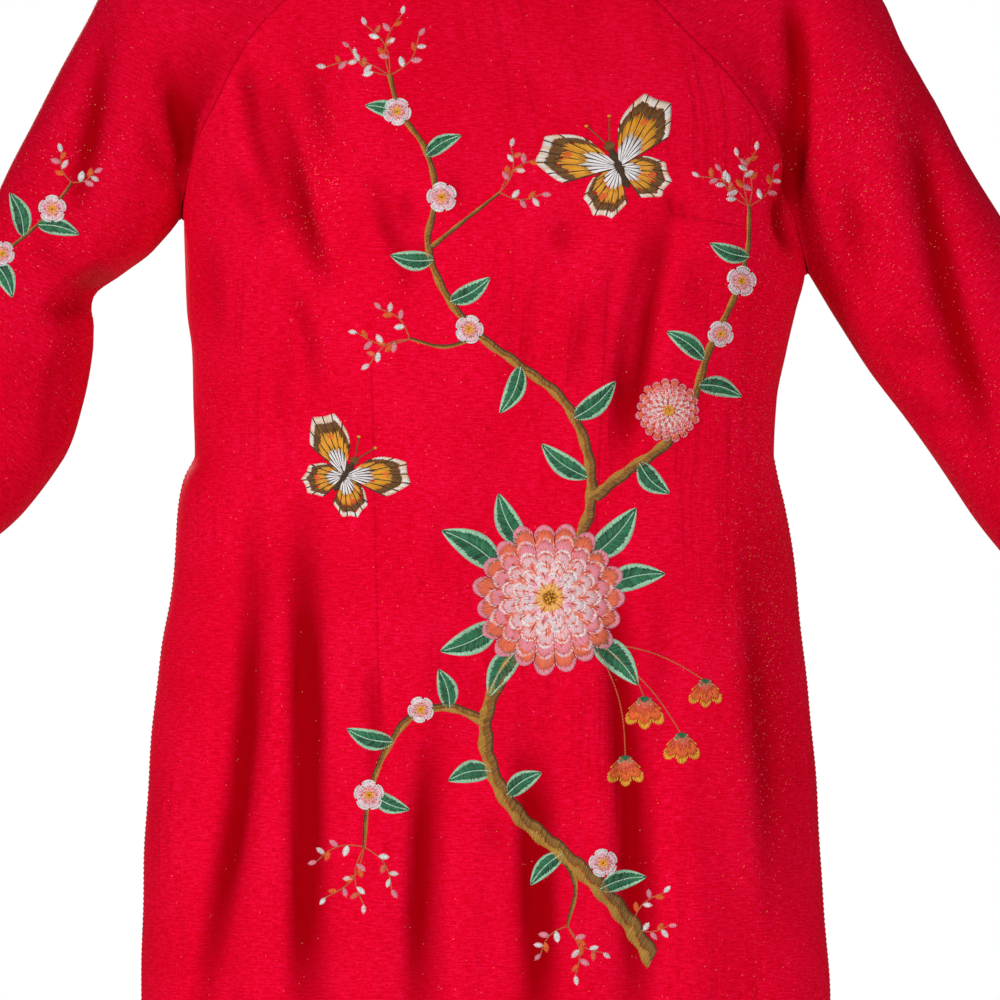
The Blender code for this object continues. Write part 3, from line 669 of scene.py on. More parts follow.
def sleeve_arc(name, share):
    """A row over the shoulder from seam to seam. At the armpit it closes to a ring."""
    ring = share == 0
    front_end, back_end = (seam_end(name, share, face) for face in ("front", "back"))
    if ring:
        front_end = back_end = ARMPITS[name] + arm_middle(name, 0.0)[1] * SEAM_GAP
    top_x, top_z = place_on_line(RAGLAN[name]["top"], share)
    midway = (front_end + back_end) / 2
    to_top = np.array([top_x, midway[1], top_z]) - midway
    chord = np.array([0, 1.0, 0]) if ring else unit(back_end - front_end)
    rise = unit(to_top - chord * (to_top @ chord))
    centre = midway + ARC_CENTRE * to_top
    first, last = -math.pi / 2, 1.5 * math.pi
    if not ring:
        first, last = (math.atan2((end - centre) @ rise, -((end - centre) @ chord))
                       for end in (front_end, back_end))
        last = last % (2 * math.pi)
    angles = np.linspace(first, last, ROW_SAMPLES)[:, None]
    ways = -np.cos(angles) * chord + np.sin(angles) * rise
    starts = np.repeat(centre[None, :], ROW_SAMPLES, axis=0)
    field = partial(arm_field, name=name) if ring else tunic_field
    inner = face_points(field, starts[1:-1], ways[1:-1], reach=200.0)
    return np.concatenate([[front_end], inner, [back_end]])

# %% [markdown]
# ## Fine rows
# Each row is divided closely along its two edges, where seams and hems are, and evenly between
# them. Between two rows that rays have found, more are drawn on smooth curves and then settled.

# %% Dividing the cloth
EDGE_STEPS = (0, 0.6, 1.4, 2.4, 4.0, 5.8, 6.6, 7.6, 9.6)
STITCH_STEP = 5
HEM_STEPS = (0, 1, 2.5, 5, 9, 13, 17, 21, 23, 24, 25, 26.5, 29)
HEM_STITCH_ROW = 8
RAGLAN_ROWS = 48
RAGLAN_COARSE_ROWS = 24
SKIRT_COARSE_ROWS = 41
WAIST_COARSE_ROWS = 9


def divide_row(line, inner, gap):
    """Points along a row at the edge steps and evenly between them, and how far along each is."""
    length = line_lengths(line)[-1] - gap
    edge = np.array(EDGE_STEPS, float)
    middle = np.linspace(edge[-1], length - edge[-1], inner + 2)[1:-1]
    at = np.concatenate([edge, middle, length - edge[::-1]])
    return points_at(line, at + gap / 2), at


def rows_between(rows, places, at):
    """Rows on smooth curves through the coarse rows."""
    slope = np.gradient(rows, places, axis=0)
    i = np.clip(np.searchsorted(places, at, side="right") - 1, 0, len(places) - 2)
    gap = (places[i + 1] - places[i])[:, None, None]
    t = (at - places[i])[:, None, None] / gap
    return (rows[i] * (1 + 2 * t) * (1 - t) ** 2 + slope[i] * gap * t * (1 - t) ** 2
            + rows[i + 1] * t**2 * (3 - 2 * t) + slope[i + 1] * gap * t**2 * (t - 1))


def fine_rows(rows, gaps, places, at, inner, field):
    """Settled rows between the coarse ones, and how far along their rows their points are."""
    gaps = np.broadcast_to(gaps, len(places))
    divided = [divide_row(row, inner, gap) for row, gap in zip(rows, gaps)]
    points = rows_between(np.array([points for points, _ in divided]), places, at)
    along = rows_between(np.array([along for _, along in divided])[..., None], places, at)
    return settle(field, points), along[..., 0]


def raglan_block(make_row, inner):
    """The rows above the armpit, which have the same places on both sides of a seam.

    The pieces lie a little farther apart in the fold at the armpit.
    """
    coarse = np.linspace(0, 1, RAGLAN_COARSE_ROWS + 1)
    shares = coarse**RAGLAN_CROWDING
    gaps = [SEAM_GAP * (1 + ARMPIT_EASE * (1 - share) ** ARMPIT_FADE) for share in shares]
    return fine_rows([make_row(share) for share in shares], gaps, coarse,
                     np.linspace(0, 1, RAGLAN_ROWS + 1)[1:], inner, tunic_field)


# %% The fine grid of a panel
Woven = namedtuple("Woven", "points ways at low_rows")


def panel_cloth(face, inner, row_step):
    """A panel's points from hem to neckline, their ways out, and places along their rows."""
    field = partial(body_field, face=face)
    hem = HEM_HEIGHT + np.array(HEM_STEPS, float)
    count = int((SLIT_HEIGHT - hem[-1]) / row_step)
    skirt = np.concatenate([hem, np.linspace(hem[-1], SLIT_HEIGHT, count + 1)[1:]])
    coarse = np.linspace(HEM_HEIGHT, SLIT_HEIGHT, SKIRT_COARSE_ROWS + 1)
    below, below_at = fine_rows([side_row(face, height, height) for height in coarse],
                                SEAM_GAP, coarse, skirt, inner, field)
    left, right = (ARMPITS[name][2] for name in ("left", "right"))
    count = int((left - SLIT_HEIGHT) / row_step)
    coarse = np.linspace(0, 1, WAIST_COARSE_ROWS + 1)
    rows = [side_row(face, SLIT_HEIGHT + (left - SLIT_HEIGHT) * share,
                     SLIT_HEIGHT + (right - SLIT_HEIGHT) * share) for share in coarse]
    waist, waist_at = fine_rows(rows, SEAM_GAP, coarse, np.linspace(0, 1, count + 1)[1:],
                                inner, field)
    above, above_at = raglan_block(partial(raglan_row, face), inner)
    low = np.concatenate([below, waist])
    ways = np.concatenate([field_slopes(field, low), field_slopes(tunic_field, above)])
    return Woven(np.concatenate([low, above]), unit(ways),
                 np.concatenate([below_at, waist_at, above_at]), len(below))


# %% The fine grid of a sleeve
CUFF_STEPS = (0, 1, 2.5, 5, 9, 13, 17, 18, 19, 20.5, 23)
CUFF_STITCH_ROW = 6
ARM_COARSE_ROWS = 29
ARM_OF = {"sleeve_left": "left", "sleeve_right": "right"}
FINENESS = {
    "front": {"inner": 124, "row_step": 4.1},
    "back": {"inner": 84, "row_step": 6.0},
    "sleeve": {"inner": 74, "row_step": 4.2},
}


def sleeve_cloth(name, inner, row_step):
    field = partial(arm_field, name=name)
    armpit = arm_place(ARMPITS[name][None, :], name)[0][0]
    end = arm_frame(name)[-1]
    cuff = end - np.array(CUFF_STEPS, float)
    count = int((cuff[-1] - armpit) / row_step)
    fine = np.concatenate([cuff, np.linspace(cuff[-1], armpit, count + 1)[1:]])
    coarse = np.linspace(armpit, end, ARM_COARSE_ROWS + 1)
    arm, arm_at = fine_rows([sleeve_ring(name, along) for along in coarse], 0.0,
                            coarse, fine, inner, field)
    top, top_at = raglan_block(partial(sleeve_arc, name), inner)
    ways = np.concatenate([field_slopes(field, arm), field_slopes(tunic_field, top)])
    return Woven(np.concatenate([arm, top]), unit(ways), np.concatenate([arm_at, top_at]),
                 len(arm))


woven = {
    "front_panel": panel_cloth("front", **FINENESS["front"]),
    "back_panel": panel_cloth("back", **FINENESS["back"]),
    **{name: sleeve_cloth(arm, **FINENESS["sleeve"]) for name, arm in ARM_OF.items()},
}
for name, piece in woven.items():
    print(f"{name}: {piece.points.shape[0]} rows of {piece.points.shape[1]} points")

# %% [markdown]
# ## Creases, seams and hems
# The smooth face is pressed in and out along the way that it faces. A crease is a soft trough that
# fades at both ends. Two sewn edges sink into a narrow valley. A folded hem stands proud by the
# thickness of its turned edge. Very low, wide waves keep the cloth from looking machined.

# %% How far each point is pressed in
CREASE_TIP = 0.02
CREASE_TAPER = 0.7
SEAM_VALLEY = (0.8, 1.5)
HEM_FOLD = 0.45
HEM_STEP = 1.2
EDGE_ROUND = 0.5
SLIT_BLEND = 6.0
SLIT_HEM_WIDTH = 6.4
BOTTOM_HEM_WIDTH = 24.5
CUFF_HEM_WIDTH = 18.5
RIPPLE_HEIGHT = 0.46
RIPPLE_LENGTHS = (38, 120)
RIPPLES = 14
RIPPLE_SEED = 7
RIPPLE_WAYS = (1.0, 1.0, 0.6)
SLEEVE_RIPPLE = 0.9
SLEEVE_RIPPLE_FROM = (150, 230)


def crease_depth(points, side_depth):
    depth = np.zeros(points.shape[:-1])
    place = points[..., [0, 2]]
    facing = both_facings(side_depth)
    for face, crease in each_fold(CREASES):
        route = np.array(crease["route"], float)
        lengths = line_lengths(route)
        nearest = np.full(depth.shape, np.inf)
        aside, done = np.zeros_like(depth), np.zeros_like(depth)
        for start, end, before in zip(route[:-1], route[1:], lengths[:-1]):
            run = end - start
            share = np.clip((place - start) @ run / (run @ run), 0, 1)
            offset = place - start - share[..., None] * run
            away = np.linalg.norm(offset, axis=-1)
            closer = away < nearest
            side = np.sign(offset[..., 1] * run[0] - offset[..., 0] * run[1])
            nearest = np.where(closer, away, nearest)
            aside = np.where(closer, side, aside)
            done = np.where(closer, before + share * np.linalg.norm(run), done)
        width = crease["width"] * (1 + crease["lean"] * aside)
        share = np.clip(done / lengths[-1], CREASE_TIP, 1 - CREASE_TIP)
        taper = np.sin(np.pi * share) ** CREASE_TAPER
        depth += crease["depth"] * taper * facing[face] * np.exp(-((nearest / width) ** 2))
    return depth


def ripple(points):
    """Low waves in many directions, the same on every run."""
    chance = np.random.default_rng(RIPPLE_SEED)
    rise = np.zeros(points.shape[:-1])
    for length in np.geomspace(*RIPPLE_LENGTHS, RIPPLES):
        way = unit(chance.normal(size=3) * RIPPLE_WAYS)
        phase = chance.uniform(0, 2 * math.pi)
        rise += np.sin(points @ way * 2 * math.pi / length + phase) * (length / RIPPLE_LENGTHS[1])
    return rise * RIPPLE_HEIGHT / 2


def valley(distance):
    depth, width = SEAM_VALLEY
    return depth * np.exp(-((distance / width) ** 2))


def hem_rise(distance, width):
    """A hem's turned edge stands proud up to its width, and its own edge is rounded."""
    stands = HEM_FOLD * (1 - smoothstep(width, width + HEM_STEP, distance))
    return stands - EDGE_ROUND * np.exp(-distance / EDGE_ROUND)


# %% [markdown]
# Both pieces at a seam are pressed in by the same rule, which depends only on where a point is, so
# they still meet. A row's own length gives the distance from its edges.

# %% Press the pieces
def pressed(name, piece):
    """A piece's pressed points, and how deep its creases alone are."""
    points, ways, at, low_rows = piece
    edges = np.minimum(at - at[:, :1], at[:, -1:] - at)
    to_neck = np.linalg.norm(points - points[-1:], axis=-1)
    if name in ARM_OF:
        along, _, forward = arm_place(points, ARM_OF[name])
        creased = crease_depth(points, -forward)
        livelier = 1 + SLEEVE_RIPPLE * smoothstep(*SLEEVE_RIPPLE_FROM, along)
        depth = creased - ripple(points) * livelier + valley(edges)
        depth -= hem_rise(arm_frame(ARM_OF[name])[-1] - along, CUFF_HEM_WIDTH)
    else:
        creased = crease_depth(points, points[..., 1])
        in_skirt = smoothstep(SLIT_HEIGHT, SLIT_HEIGHT - SLIT_BLEND, points[..., 2])
        depth = creased - ripple(points)
        depth += valley(edges) * (1 - in_skirt) - hem_rise(edges, SLIT_HEM_WIDTH) * in_skirt
        low = np.arange(len(points))[:, None] < low_rows
        depth -= hem_rise(points[..., 2] - HEM_HEIGHT, BOTTOM_HEM_WIDTH) * low
    return points - ways * (depth + valley(to_neck))[..., None], creased


faces, depths = {}, {}
for name, piece in woven.items():
    faces[name], depths[name] = pressed(name, piece)
    print(f"{name}: creases {depths[name].min():.1f} to {depths[name].max():.1f} mm deep")

# %% [markdown]
# ## Where the yarns run
# The weft of this silk is slubby, and its thick places show as short level lines. On the panels
# they lie level, and on a sleeve they run round the arm. So each piece has its own map in metres,
# across the cloth and along it, for its material to read.

# %% Maps of the cloth
def cloth_map(name, piece):
    across = piece.at - (piece.at[:, :1] + piece.at[:, -1:]) / 2
    up = -arm_place(piece.points, ARM_OF[name])[0] if name in ARM_OF else piece.points[..., 2]
    return np.stack([across, up], axis=-1) * MM


maps = {name: cloth_map(name, piece) for name, piece in woven.items()}

# %% [markdown]
# ## Painted shade where the cloth is hollow
# Light that enters a fold of bright silk bounces from wall to wall and comes out deeper and redder.
# That shade is painted into the silk's colour, on top of the shading of the form. The creases give
# their own depth. For the wide hanging folds, each point compares its place with those a little way
# off on both sides. The silk's material reads the sum as an attribute and deepens the red by it.

# %% How hollow the cloth is
CREASE_FULL = 7.0
FOLD_STEPS = 6
FOLD_FULL = 9.0
BODY_ROUND = 1.0


def hollowness(points, ways, depth):
    """0 on flat or raised cloth, and up to 1 at the bottom of a fold."""
    columns = np.arange(points.shape[1])
    before = np.clip(columns - FOLD_STEPS, 0, columns[-1])
    after = np.clip(columns + FOLD_STEPS, 0, columns[-1])
    middle = (points[:, before] + points[:, after]) / 2
    rise = ((middle - points) * ways).sum(axis=-1) + BODY_ROUND
    return np.clip(depth / CREASE_FULL + np.clip(rise, 0, None) / FOLD_FULL, 0, 1)


# %% [markdown]
# ## Making the cloth
# A bmesh grid with as many cells as the piece has is bent so that each of its points lies where
# the tables say. Solidify then gives the wall its thickness inward, and the result is kept as
# plain mesh, so nothing later can change it.

# %% Lay a grid on its points
SHARP_EDGE = math.radians(55)


def lay_grid(name, points, ways, places, closed_rows=0, hollows=None):
    """A mesh of the grid's points. The side edges of its closed rows are joined."""
    rows, columns = points.shape[0] - 1, points.shape[1] - 1
    bm = bmesh.new()
    bmesh.ops.create_grid(bm, x_segments=columns, y_segments=rows, size=0.5)
    layer = bm.loops.layers.uv.new("cloth")
    hollow = bm.verts.layers.float.new("hollow")
    cell = {v: (round((v.co.y + 0.5) * rows), round((v.co.x + 0.5) * columns)) for v in bm.verts}
    for f in bm.faces:
        for loop in f.loops:
            loop[layer].uv = places[cell[loop.vert]]
    for v, at in cell.items():
        v.co = points[at] * MM
        v[hollow] = 0.0 if hollows is None else hollows[at]
    joined = [v for v, (row, column) in cell.items()
              if row < closed_rows and column in (0, columns)]
    bmesh.ops.remove_doubles(bm, verts=joined, dist=0.0001)
    mesh = bpy.data.meshes.new(name)
    bm.to_mesh(mesh)
    bm.free()
    if faces_inward(mesh, points, ways):
        mesh.flip_normals()
    return mesh


def faces_inward(mesh, points, ways):
    polygon = mesh.polygons[len(mesh.polygons) // 2]
    away = points.reshape(-1, 3) * MM - np.array(polygon.center)
    nearest = np.argmin((away**2).sum(axis=1))
    return np.array(polygon.normal) @ ways.reshape(-1, 3)[nearest] < 0


def smooth_faces(mesh):
    for polygon in mesh.polygons:
        polygon.use_smooth = True


def thicken(mesh, name, thickness):
    piece = add_object(name, mesh)
    wall = piece.modifiers.new("wall", "SOLIDIFY")
    wall.thickness = thickness * MM
    wall.offset = -1
    shell = bpy.data.meshes.new_from_object(
        piece.evaluated_get(bpy.context.evaluated_depsgraph_get()))
    piece.modifiers.clear()
    piece.data = shell
    shell.name = name
    smooth_faces(shell)
    shell.set_sharp_from_angle(angle=SHARP_EDGE)
    return piece


# %% Make the four cut pieces
cloth, surface = {}, {}
for name, piece in woven.items():
    hollows = hollowness(faces[name], piece.ways, depths[name])
    mesh = lay_grid(name, faces[name], piece.ways, maps[name],
                    piece.low_rows if name in ARM_OF else 0, hollows)
    surface[name] = BVHTree.FromPolygons([v.co.copy() for v in mesh.vertices],
                                         [tuple(p.vertices) for p in mesh.polygons])
    cloth[name] = thicken(mesh, name + "_silk", CLOTH)
    print(f"{name}: {len(cloth[name].data.polygons)} faces, {np.mean(hollows > 0.3):.0%} hollow")

# %% [markdown]
# ## The stand collar
# The collar is a strip of stiffened double silk that stands on the neckline seam, with rounded
# corners that meet at the front. It follows the same neckline as the pieces that it is sewn to,
# and its stiff upper edge eases the neckline's bends.

# %% Collar
COLLAR_COLUMNS = 150
COLLAR_ROWS = 14
COLLAR_EASE = 9
COLLAR_TUCK = 1.7
TUCK_HEIGHT = 2.2
COLLAR_ROUND = (0.5, 0.8)
SPLAY_POWER = 9


def neckline():
    rows = [raglan_row("front", 1.0), sleeve_arc("right", 1.0),
            raglan_row("back", 1.0)[::-1], sleeve_arc("left", 1.0)[::-1]]
    front_row = rows[0]
    half = len(front_row) // 2
    return np.concatenate([front_row[half:], *rows[1:], front_row[:half + 1]])


def collar_points():
    line = neckline()
    length = line_lengths(line)[-1]
    base = points_at(line, np.linspace(COLLAR_GAP / 2, length - COLLAR_GAP / 2,
                                       COLLAR_COLUMNS + 1))
    at = line_lengths(base)
    corner = np.clip(COLLAR_CORNER - np.minimum(at, at[-1] - at), 0, COLLAR_CORNER)
    height = COLLAR_HEIGHT - COLLAR_CORNER + np.sqrt(COLLAR_CORNER**2 - corner**2)
    outward = unit(base * np.array([1.0, 1.0, 0.0]))
    padded = np.pad(base, ((COLLAR_EASE, COLLAR_EASE), (0, 0)), mode="edge")
    eased_over = 2 * COLLAR_EASE + 1
    soft = sum(padded[i:i + len(base)] for i in range(eased_over)) / eased_over
    splay = np.linspace(1, -1, COLLAR_COLUMNS + 1) ** SPLAY_POWER * COLLAR_SPLAY
    grid = []
    for share in np.linspace(0, 1, COLLAR_ROWS + 1):
        rise = height * share
        row = base + (soft - base) * share - outward * (rise * COLLAR_LEAN)[:, None]
        row[:, 2] += rise + SEAM_GAP - COLLAR_TUCK * np.exp(-rise / TUCK_HEIGHT)
        row[:, 0] += splay * rise
        rounding = COLLAR_ROUND[0] * np.exp(-(height - rise) / COLLAR_ROUND[1]) + valley(rise)
        grid.append(row - outward * rounding[:, None])
    places = np.stack(np.broadcast_arrays(
        at[None, :], np.linspace(0, COLLAR_HEIGHT, COLLAR_ROWS + 1)[:, None]), axis=-1) * MM
    return np.array(grid), np.repeat(outward[None], COLLAR_ROWS + 1, axis=0), places


points, ways, places = collar_points()
cloth["collar"] = thicken(lay_grid("collar", points, ways, places), "collar_silk", COLLAR_CLOTH)
print(f"collar: {len(cloth['collar'].data.polygons)} faces")

# %% [markdown]
# ## Stitches and threads
# A stitch or a strand of embroidery is a short thread. Thousands are wanted, so each is only a
# three-sided rod of a few segments, and all the threads of one kind are joined in one mesh that is
# filled from arrays. Its ends dip under the cloth, as real ones do.

# %% Threads from arrays
END_DIP = 0.45


def add_threads(name, stations, ways, width, height, colours=None):
    """Threads as rods. stations and ways hold, for each thread, points along it and ways out."""
    count, points = stations.shape[:2]
    lean = unit(np.gradient(stations, axis=1) + 1e-9)
    across = unit(np.cross(lean, ways)) * np.reshape(width, (-1, 1, 1)) / 2
    dip = np.zeros(points)
    dip[[0, -1]] = END_DIP
    low = stations - ways * dip[None, :, None]
    top = low + ways * np.reshape(height, (-1, 1, 1))
    corners = np.stack([low - across, top, low + across], axis=2)
    vertex = np.arange(count * points * 3).reshape(count, points, 3)
    sides = [np.stack([vertex[:, :-1, a], vertex[:, :-1, b], vertex[:, 1:, b], vertex[:, 1:, a]],
                      axis=-1).reshape(-1, 4) for a, b in ((0, 1), (1, 2), (2, 0))]
    caps = np.concatenate([vertex[:, 0, ::-1], vertex[:, -1]])
    mesh = bpy.data.meshes.new(name)
    mesh.from_pydata(corners.reshape(-1, 3) * MM, [],
                     np.concatenate(sides).tolist() + caps.tolist())
    bm = bmesh.new()
    bm.from_mesh(mesh)
    if bm.calc_volume(signed=True) < 0:
        bmesh.ops.reverse_faces(bm, faces=bm.faces)
    bm.to_mesh(mesh)
    bm.free()
    smooth_faces(mesh)
    if colours is not None:
        layer = mesh.color_attributes.new("thread", "FLOAT_COLOR", "POINT")
        each = np.repeat(np.asarray(colours, float), points * 3, axis=0)
        layer.data.foreach_set("color", each.ravel())
    print(f"{name}: {count} threads, {sum(len(p.vertices) - 2 for p in mesh.polygons)} triangles")
    return add_object(name, mesh)


# %% [markdown]
# Hems are held by a running stitch. Its stitches lie in a line at one step from the edge, each a
# little shorter than its share of the line, which leaves the gaps that the eye reads as sewing.

# %% Hem stitches
STITCH_LENGTH = 2.2
STITCH_PITCH = 3.2
STITCH_THICKNESS = 0.45
STITCH_FLATNESS = 0.7
STATION_SHARES = np.array([0.0, 0.3, 0.7, 1.0])


def stitches_along(line, ways):
    starts = np.arange(1.0, line_lengths(line)[-1] - STITCH_PITCH, STITCH_PITCH)
    at = starts[:, None] + STATION_SHARES * STITCH_LENGTH
    return points_at(line, at), unit(points_at(line, at, ways))


def hem_places(name):
    """The rows and columns of a piece's points where its hem stitches run."""
    if name in ARM_OF:
        return [(CUFF_STITCH_ROW, slice(None))]
    skirt = slice(HEM_STITCH_ROW, woven[name].low_rows)
    return [(skirt, STITCH_STEP), (skirt, -STITCH_STEP - 1),
            (HEM_STITCH_ROW, slice(STITCH_STEP, -STITCH_STEP))]


stitched = {}
for name, piece in woven.items():
    made = [stitches_along(faces[name][place], piece.ways[place]) for place in hem_places(name)]
    stations, outward = (np.concatenate(part) for part in zip(*made))
    stitched[name] = add_threads(name + "_hem_stitches", stations, outward,
                                 STITCH_THICKNESS, STITCH_THICKNESS * STITCH_FLATNESS)

# %% [markdown]
# ## Colours and nodes
# Colours are written as the hex values that a designer would read off a swatch, and one function
# turns them to the linear light that Blender works in. One more function adds any shader node, and
# each of its sockets is given a value or another node's output in the same way.

# %% Helpers for materials
def linear(swatch):
    values = [int(swatch[i:i + 2], 16) / 255 for i in (1, 3, 5)]
    return [v / 12.92 if v <= 0.04045 else ((v + 0.055) / 1.055) ** 2.4 for v in values] + [1.0]


def wire(node, sockets):
    """Sets a node's sockets, or links those whose value is another node's output."""
    for socket, value in dict(sockets).items():
        if isinstance(value, bpy.types.NodeSocket):
            node.id_data.links.new(value, node.inputs[socket])
        else:
            node.inputs[socket].default_value = value


def add_node(owner, kind, sockets=(), **settings):
    node = owner.node_tree.nodes.new("ShaderNode" + kind)
    for setting, value in settings.items():
        setattr(node, setting, value)
    wire(node, sockets)
    return node


def new_material(name):
    material = bpy.data.materials.new(name)
    material.use_nodes = True
    return material, material.node_tree.nodes["Principled BSDF"]


def maths(material, operation, a, b, clamp=False):
    return add_node(material, "Math", {0: a, 1: b}, operation=operation,
                    use_clamp=clamp).outputs["Value"]


def vector_maths(material, operation, a, b, output="Vector"):
    return add_node(material, "VectorMath", {0: a, 1: b}, operation=operation).outputs[output]


def mix_colours(material, share, first, second):
    return add_node(material, "MixRGB", {"Fac": share, "Color1": first,
                                         "Color2": second}).outputs["Color"]


def object_place(material):
    return add_node(material, "TexCoord").outputs["Object"]


# %% [markdown]
# ## Slubbed silk with a metallic thread
# The cloth is a plain weave of silk and a shiny synthetic yarn, dyed deep red, with slubs in its
# weft and a sparse foil thread. The slubs show as level lines a centimetre or two long, and the
# weave gives a fine grain. The foil thread is real, and its sparkle here and there is painted
# glint: pale dots mixed into the silk's colour. The real yarns lie 0.3 mm apart, which is finer
# than a render shows from a step away, so they are drawn at about 1 mm. Fine upright puckers, finer
# than the creases in the form, are a slight change of height with painted shade in them. The red
# also deepens at the bottom of each fold, which is painted shade too.

# %% The silk's material
YARN_PITCH = 1.15
SLUB_LENGTH = 7.0
GRAIN_PITCH = 0.8
YARN_LENGTHS = (2.6, 5.0)
CLOUD_SIZE = (70.0, 60.0)
MOTTLE_SHARES = (0.42, 0.30, 0.16, 0.12)
MOTTLE_STOPS = (0.39, 0.61)
FOIL_PITCH = 0.8
FOIL_DOT = 0.36
FOIL_RARE = 0.998
FOIL_STRENGTH = (0.08, 0.62)
PUCKER_SIZE = (11.0, 130.0)
PUCKER_RANGE = (0.46, 0.68)
PATCH_SIZE = (120.0, 150.0)
PATCH_RANGE = (0.42, 0.62)
PUCKER_SHADE_SHARE = 0.2
PLAIN_PUCKER = 0.3
HOLLOW_SHADE_RED = "#A2000C"
PUCKER_SHADE_RED = "#A8000E"
DART_RED = "#8C0010"
FOIL_GLINT_COLOURS = ("#FF8FA8", "#FFC07A")
RELIEF_SHARES = (0.5, 0.25)
SILK_ROUGH = (0.5, 0.16)
DARTS = table("start end face", (
    ((-134, -239), (-101, -232), -1),
    ((129, -233), (172, -240), -1),
    ((-59, -330), (-54, -533), -1),
    ((88, -276), (80, -458), -1),
    ((-66, -250), (-62, -520), 1),
    ((70, -250), (66, -520), 1),
))
DART_WIDTH = 1.3
DART_SINK = 1.1
DART_SHADE = 0.3


def stretched(material, map_vector, across, along, detail, roughness=0.55):
    """Noise with features of these sizes in millimetres across the cloth and along it."""
    scaled = add_node(material, "Mapping", {"Vector": map_vector,
                                            "Scale": (METRE / across, METRE / along, 1)})
    return add_node(material, "TexNoise", {"Vector": scaled.outputs["Vector"], "Scale": 1.0,
                                           "Detail": detail, "Roughness": roughness}).outputs["Fac"]


def eased(material, value, low, high):
    return add_node(material, "MapRange", {"Value": value, "From Min": low, "From Max": high},
                    interpolation_type="SMOOTHSTEP").outputs["Result"]


def dart_lines(material):
    """1 along the sewn lines of the darts, and 0 away from them."""
    combine, vectors = partial(maths, material), partial(vector_maths, material)
    split = add_node(material, "SeparateXYZ", {"Vector": object_place(material)}).outputs
    flat = add_node(material, "CombineXYZ", {"X": split["X"], "Y": split["Z"]}).outputs["Vector"]
    total = 0.0
    for dart in DARTS:
        start = np.array(dart["start"]) * MM
        run = np.array(dart["end"]) * MM - start
        offset = vectors("SUBTRACT", flat, (*start, 0))
        share = vectors("DOT_PRODUCT", offset, (*(run / (run @ run)), 0), "Value")
        held = combine("MULTIPLY", share, 1.0, clamp=True)
        along = add_node(material, "VectorMath", {0: (*run, 0), "Scale": held},
                         operation="SCALE").outputs["Vector"]
        away = vectors("DISTANCE", offset, along, "Value")
        near = combine("SUBTRACT", 1.0, combine("DIVIDE", away, DART_WIDTH * MM), clamp=True)
        facing = combine("GREATER_THAN", combine("MULTIPLY", split["Y"], dart["face"]), 0.0)
        total = combine("MAXIMUM", total, combine("MULTIPLY", near, facing))
    return total


def silk_material(name, dyed, deep, bright, darts=False):
    material, shader = new_material(name)
    node, tinted = partial(add_node, material), partial(mix_colours, material)
    times, plus = partial(maths, material, "MULTIPLY"), partial(maths, material, "ADD")
    place = node("UVMap", uv_map="cloth").outputs["UV"]
    noise = partial(stretched, material, place)

    slub = noise(SLUB_LENGTH, YARN_PITCH, 3.0)
    yarn = noise(YARN_LENGTHS[0], GRAIN_PITCH, 2.0)
    warp = noise(GRAIN_PITCH, YARN_LENGTHS[1], 1.0)
    cloud = noise(*CLOUD_SIZE, 2.0)
    mottle = 0.0
    for part, share in zip((slub, yarn, warp, cloud), MOTTLE_SHARES):
        mottle = plus(mottle, times(part, share))
    ramp = node("ValToRGB", {"Fac": mottle})
    stops = ramp.color_ramp.elements
    for stop, position, swatch in zip(stops, MOTTLE_STOPS, (deep, bright)):
        stop.position, stop.color = position, linear(swatch)
    stops.new(0.5).color = linear(dyed)
    # Painted shade: the red deepens towards the bottom of each fold, by the hollow attribute.
    hollow = node("Attribute", attribute_name="hollow").outputs["Fac"]
    colour = tinted(hollow, ramp.outputs["Color"], linear(HOLLOW_SHADE_RED))

    # The puckers raise the cloth a little, and paint a slight shade into its red.
    pucker = times(eased(material, noise(*PUCKER_SIZE, 2.0, 0.6), *PUCKER_RANGE),
                   eased(material, noise(*PATCH_SIZE, 1.0), *PATCH_RANGE))
    pucker = times(pucker, 1.0 if darts else PLAIN_PUCKER)
    colour = tinted(times(pucker, PUCKER_SHADE_SHARE), colour, linear(PUCKER_SHADE_RED))

    # Painted glint: in rare cells of the foil thread, a pale dot is mixed into the silk's colour.
    foil_place = node("Mapping", {"Vector": place, "Scale": (METRE / FOIL_PITCH,) * 3})
    cells = node("TexVoronoi", {"Vector": foil_place.outputs["Vector"], "Scale": 1.0},
                 feature="F1").outputs
    chance = node("SeparateColor", {"Color": cells["Color"]}).outputs
    glint = node("Attribute", attribute_name="glint").outputs["Fac"]
    rare = maths(material, "GREATER_THAN", plus(chance["Red"], glint), FOIL_RARE)
    dot = maths(material, "LESS_THAN", cells["Distance"], FOIL_DOT)
    strength = plus(times(chance["Green"], FOIL_STRENGTH[1]), FOIL_STRENGTH[0])
    sparkle = tinted(chance["Blue"], *map(linear, FOIL_GLINT_COLOURS))
    colour = tinted(times(times(rare, dot), strength), colour, sparkle)

    relief = plus(slub, plus(*map(times, (yarn, warp), RELIEF_SHARES)))
    if darts:
        line = dart_lines(material)
        relief = maths(material, "SUBTRACT", relief, times(line, DART_SINK))
        colour = tinted(times(line, DART_SHADE), colour, linear(DART_RED))
    swell = node("Bump", {"Height": pucker, "Strength": 0.6, "Distance": 0.0010}, invert=True)
    bump = node("Bump", {"Height": relief, "Strength": 0.5, "Distance": 0.0002,
                         "Normal": swell.outputs["Normal"]})
    wire(shader, {
        "Base Color": colour, "Roughness": plus(SILK_ROUGH[0], times(yarn, SILK_ROUGH[1])),
        "Normal": bump.outputs["Normal"],
        "Specular IOR Level": 0.04, "Specular Tint": linear("#FF2A40"),
        "Sheen Weight": 0.03, "Sheen Roughness": 0.45, "Sheen Tint": linear("#FF3048")})
    return material


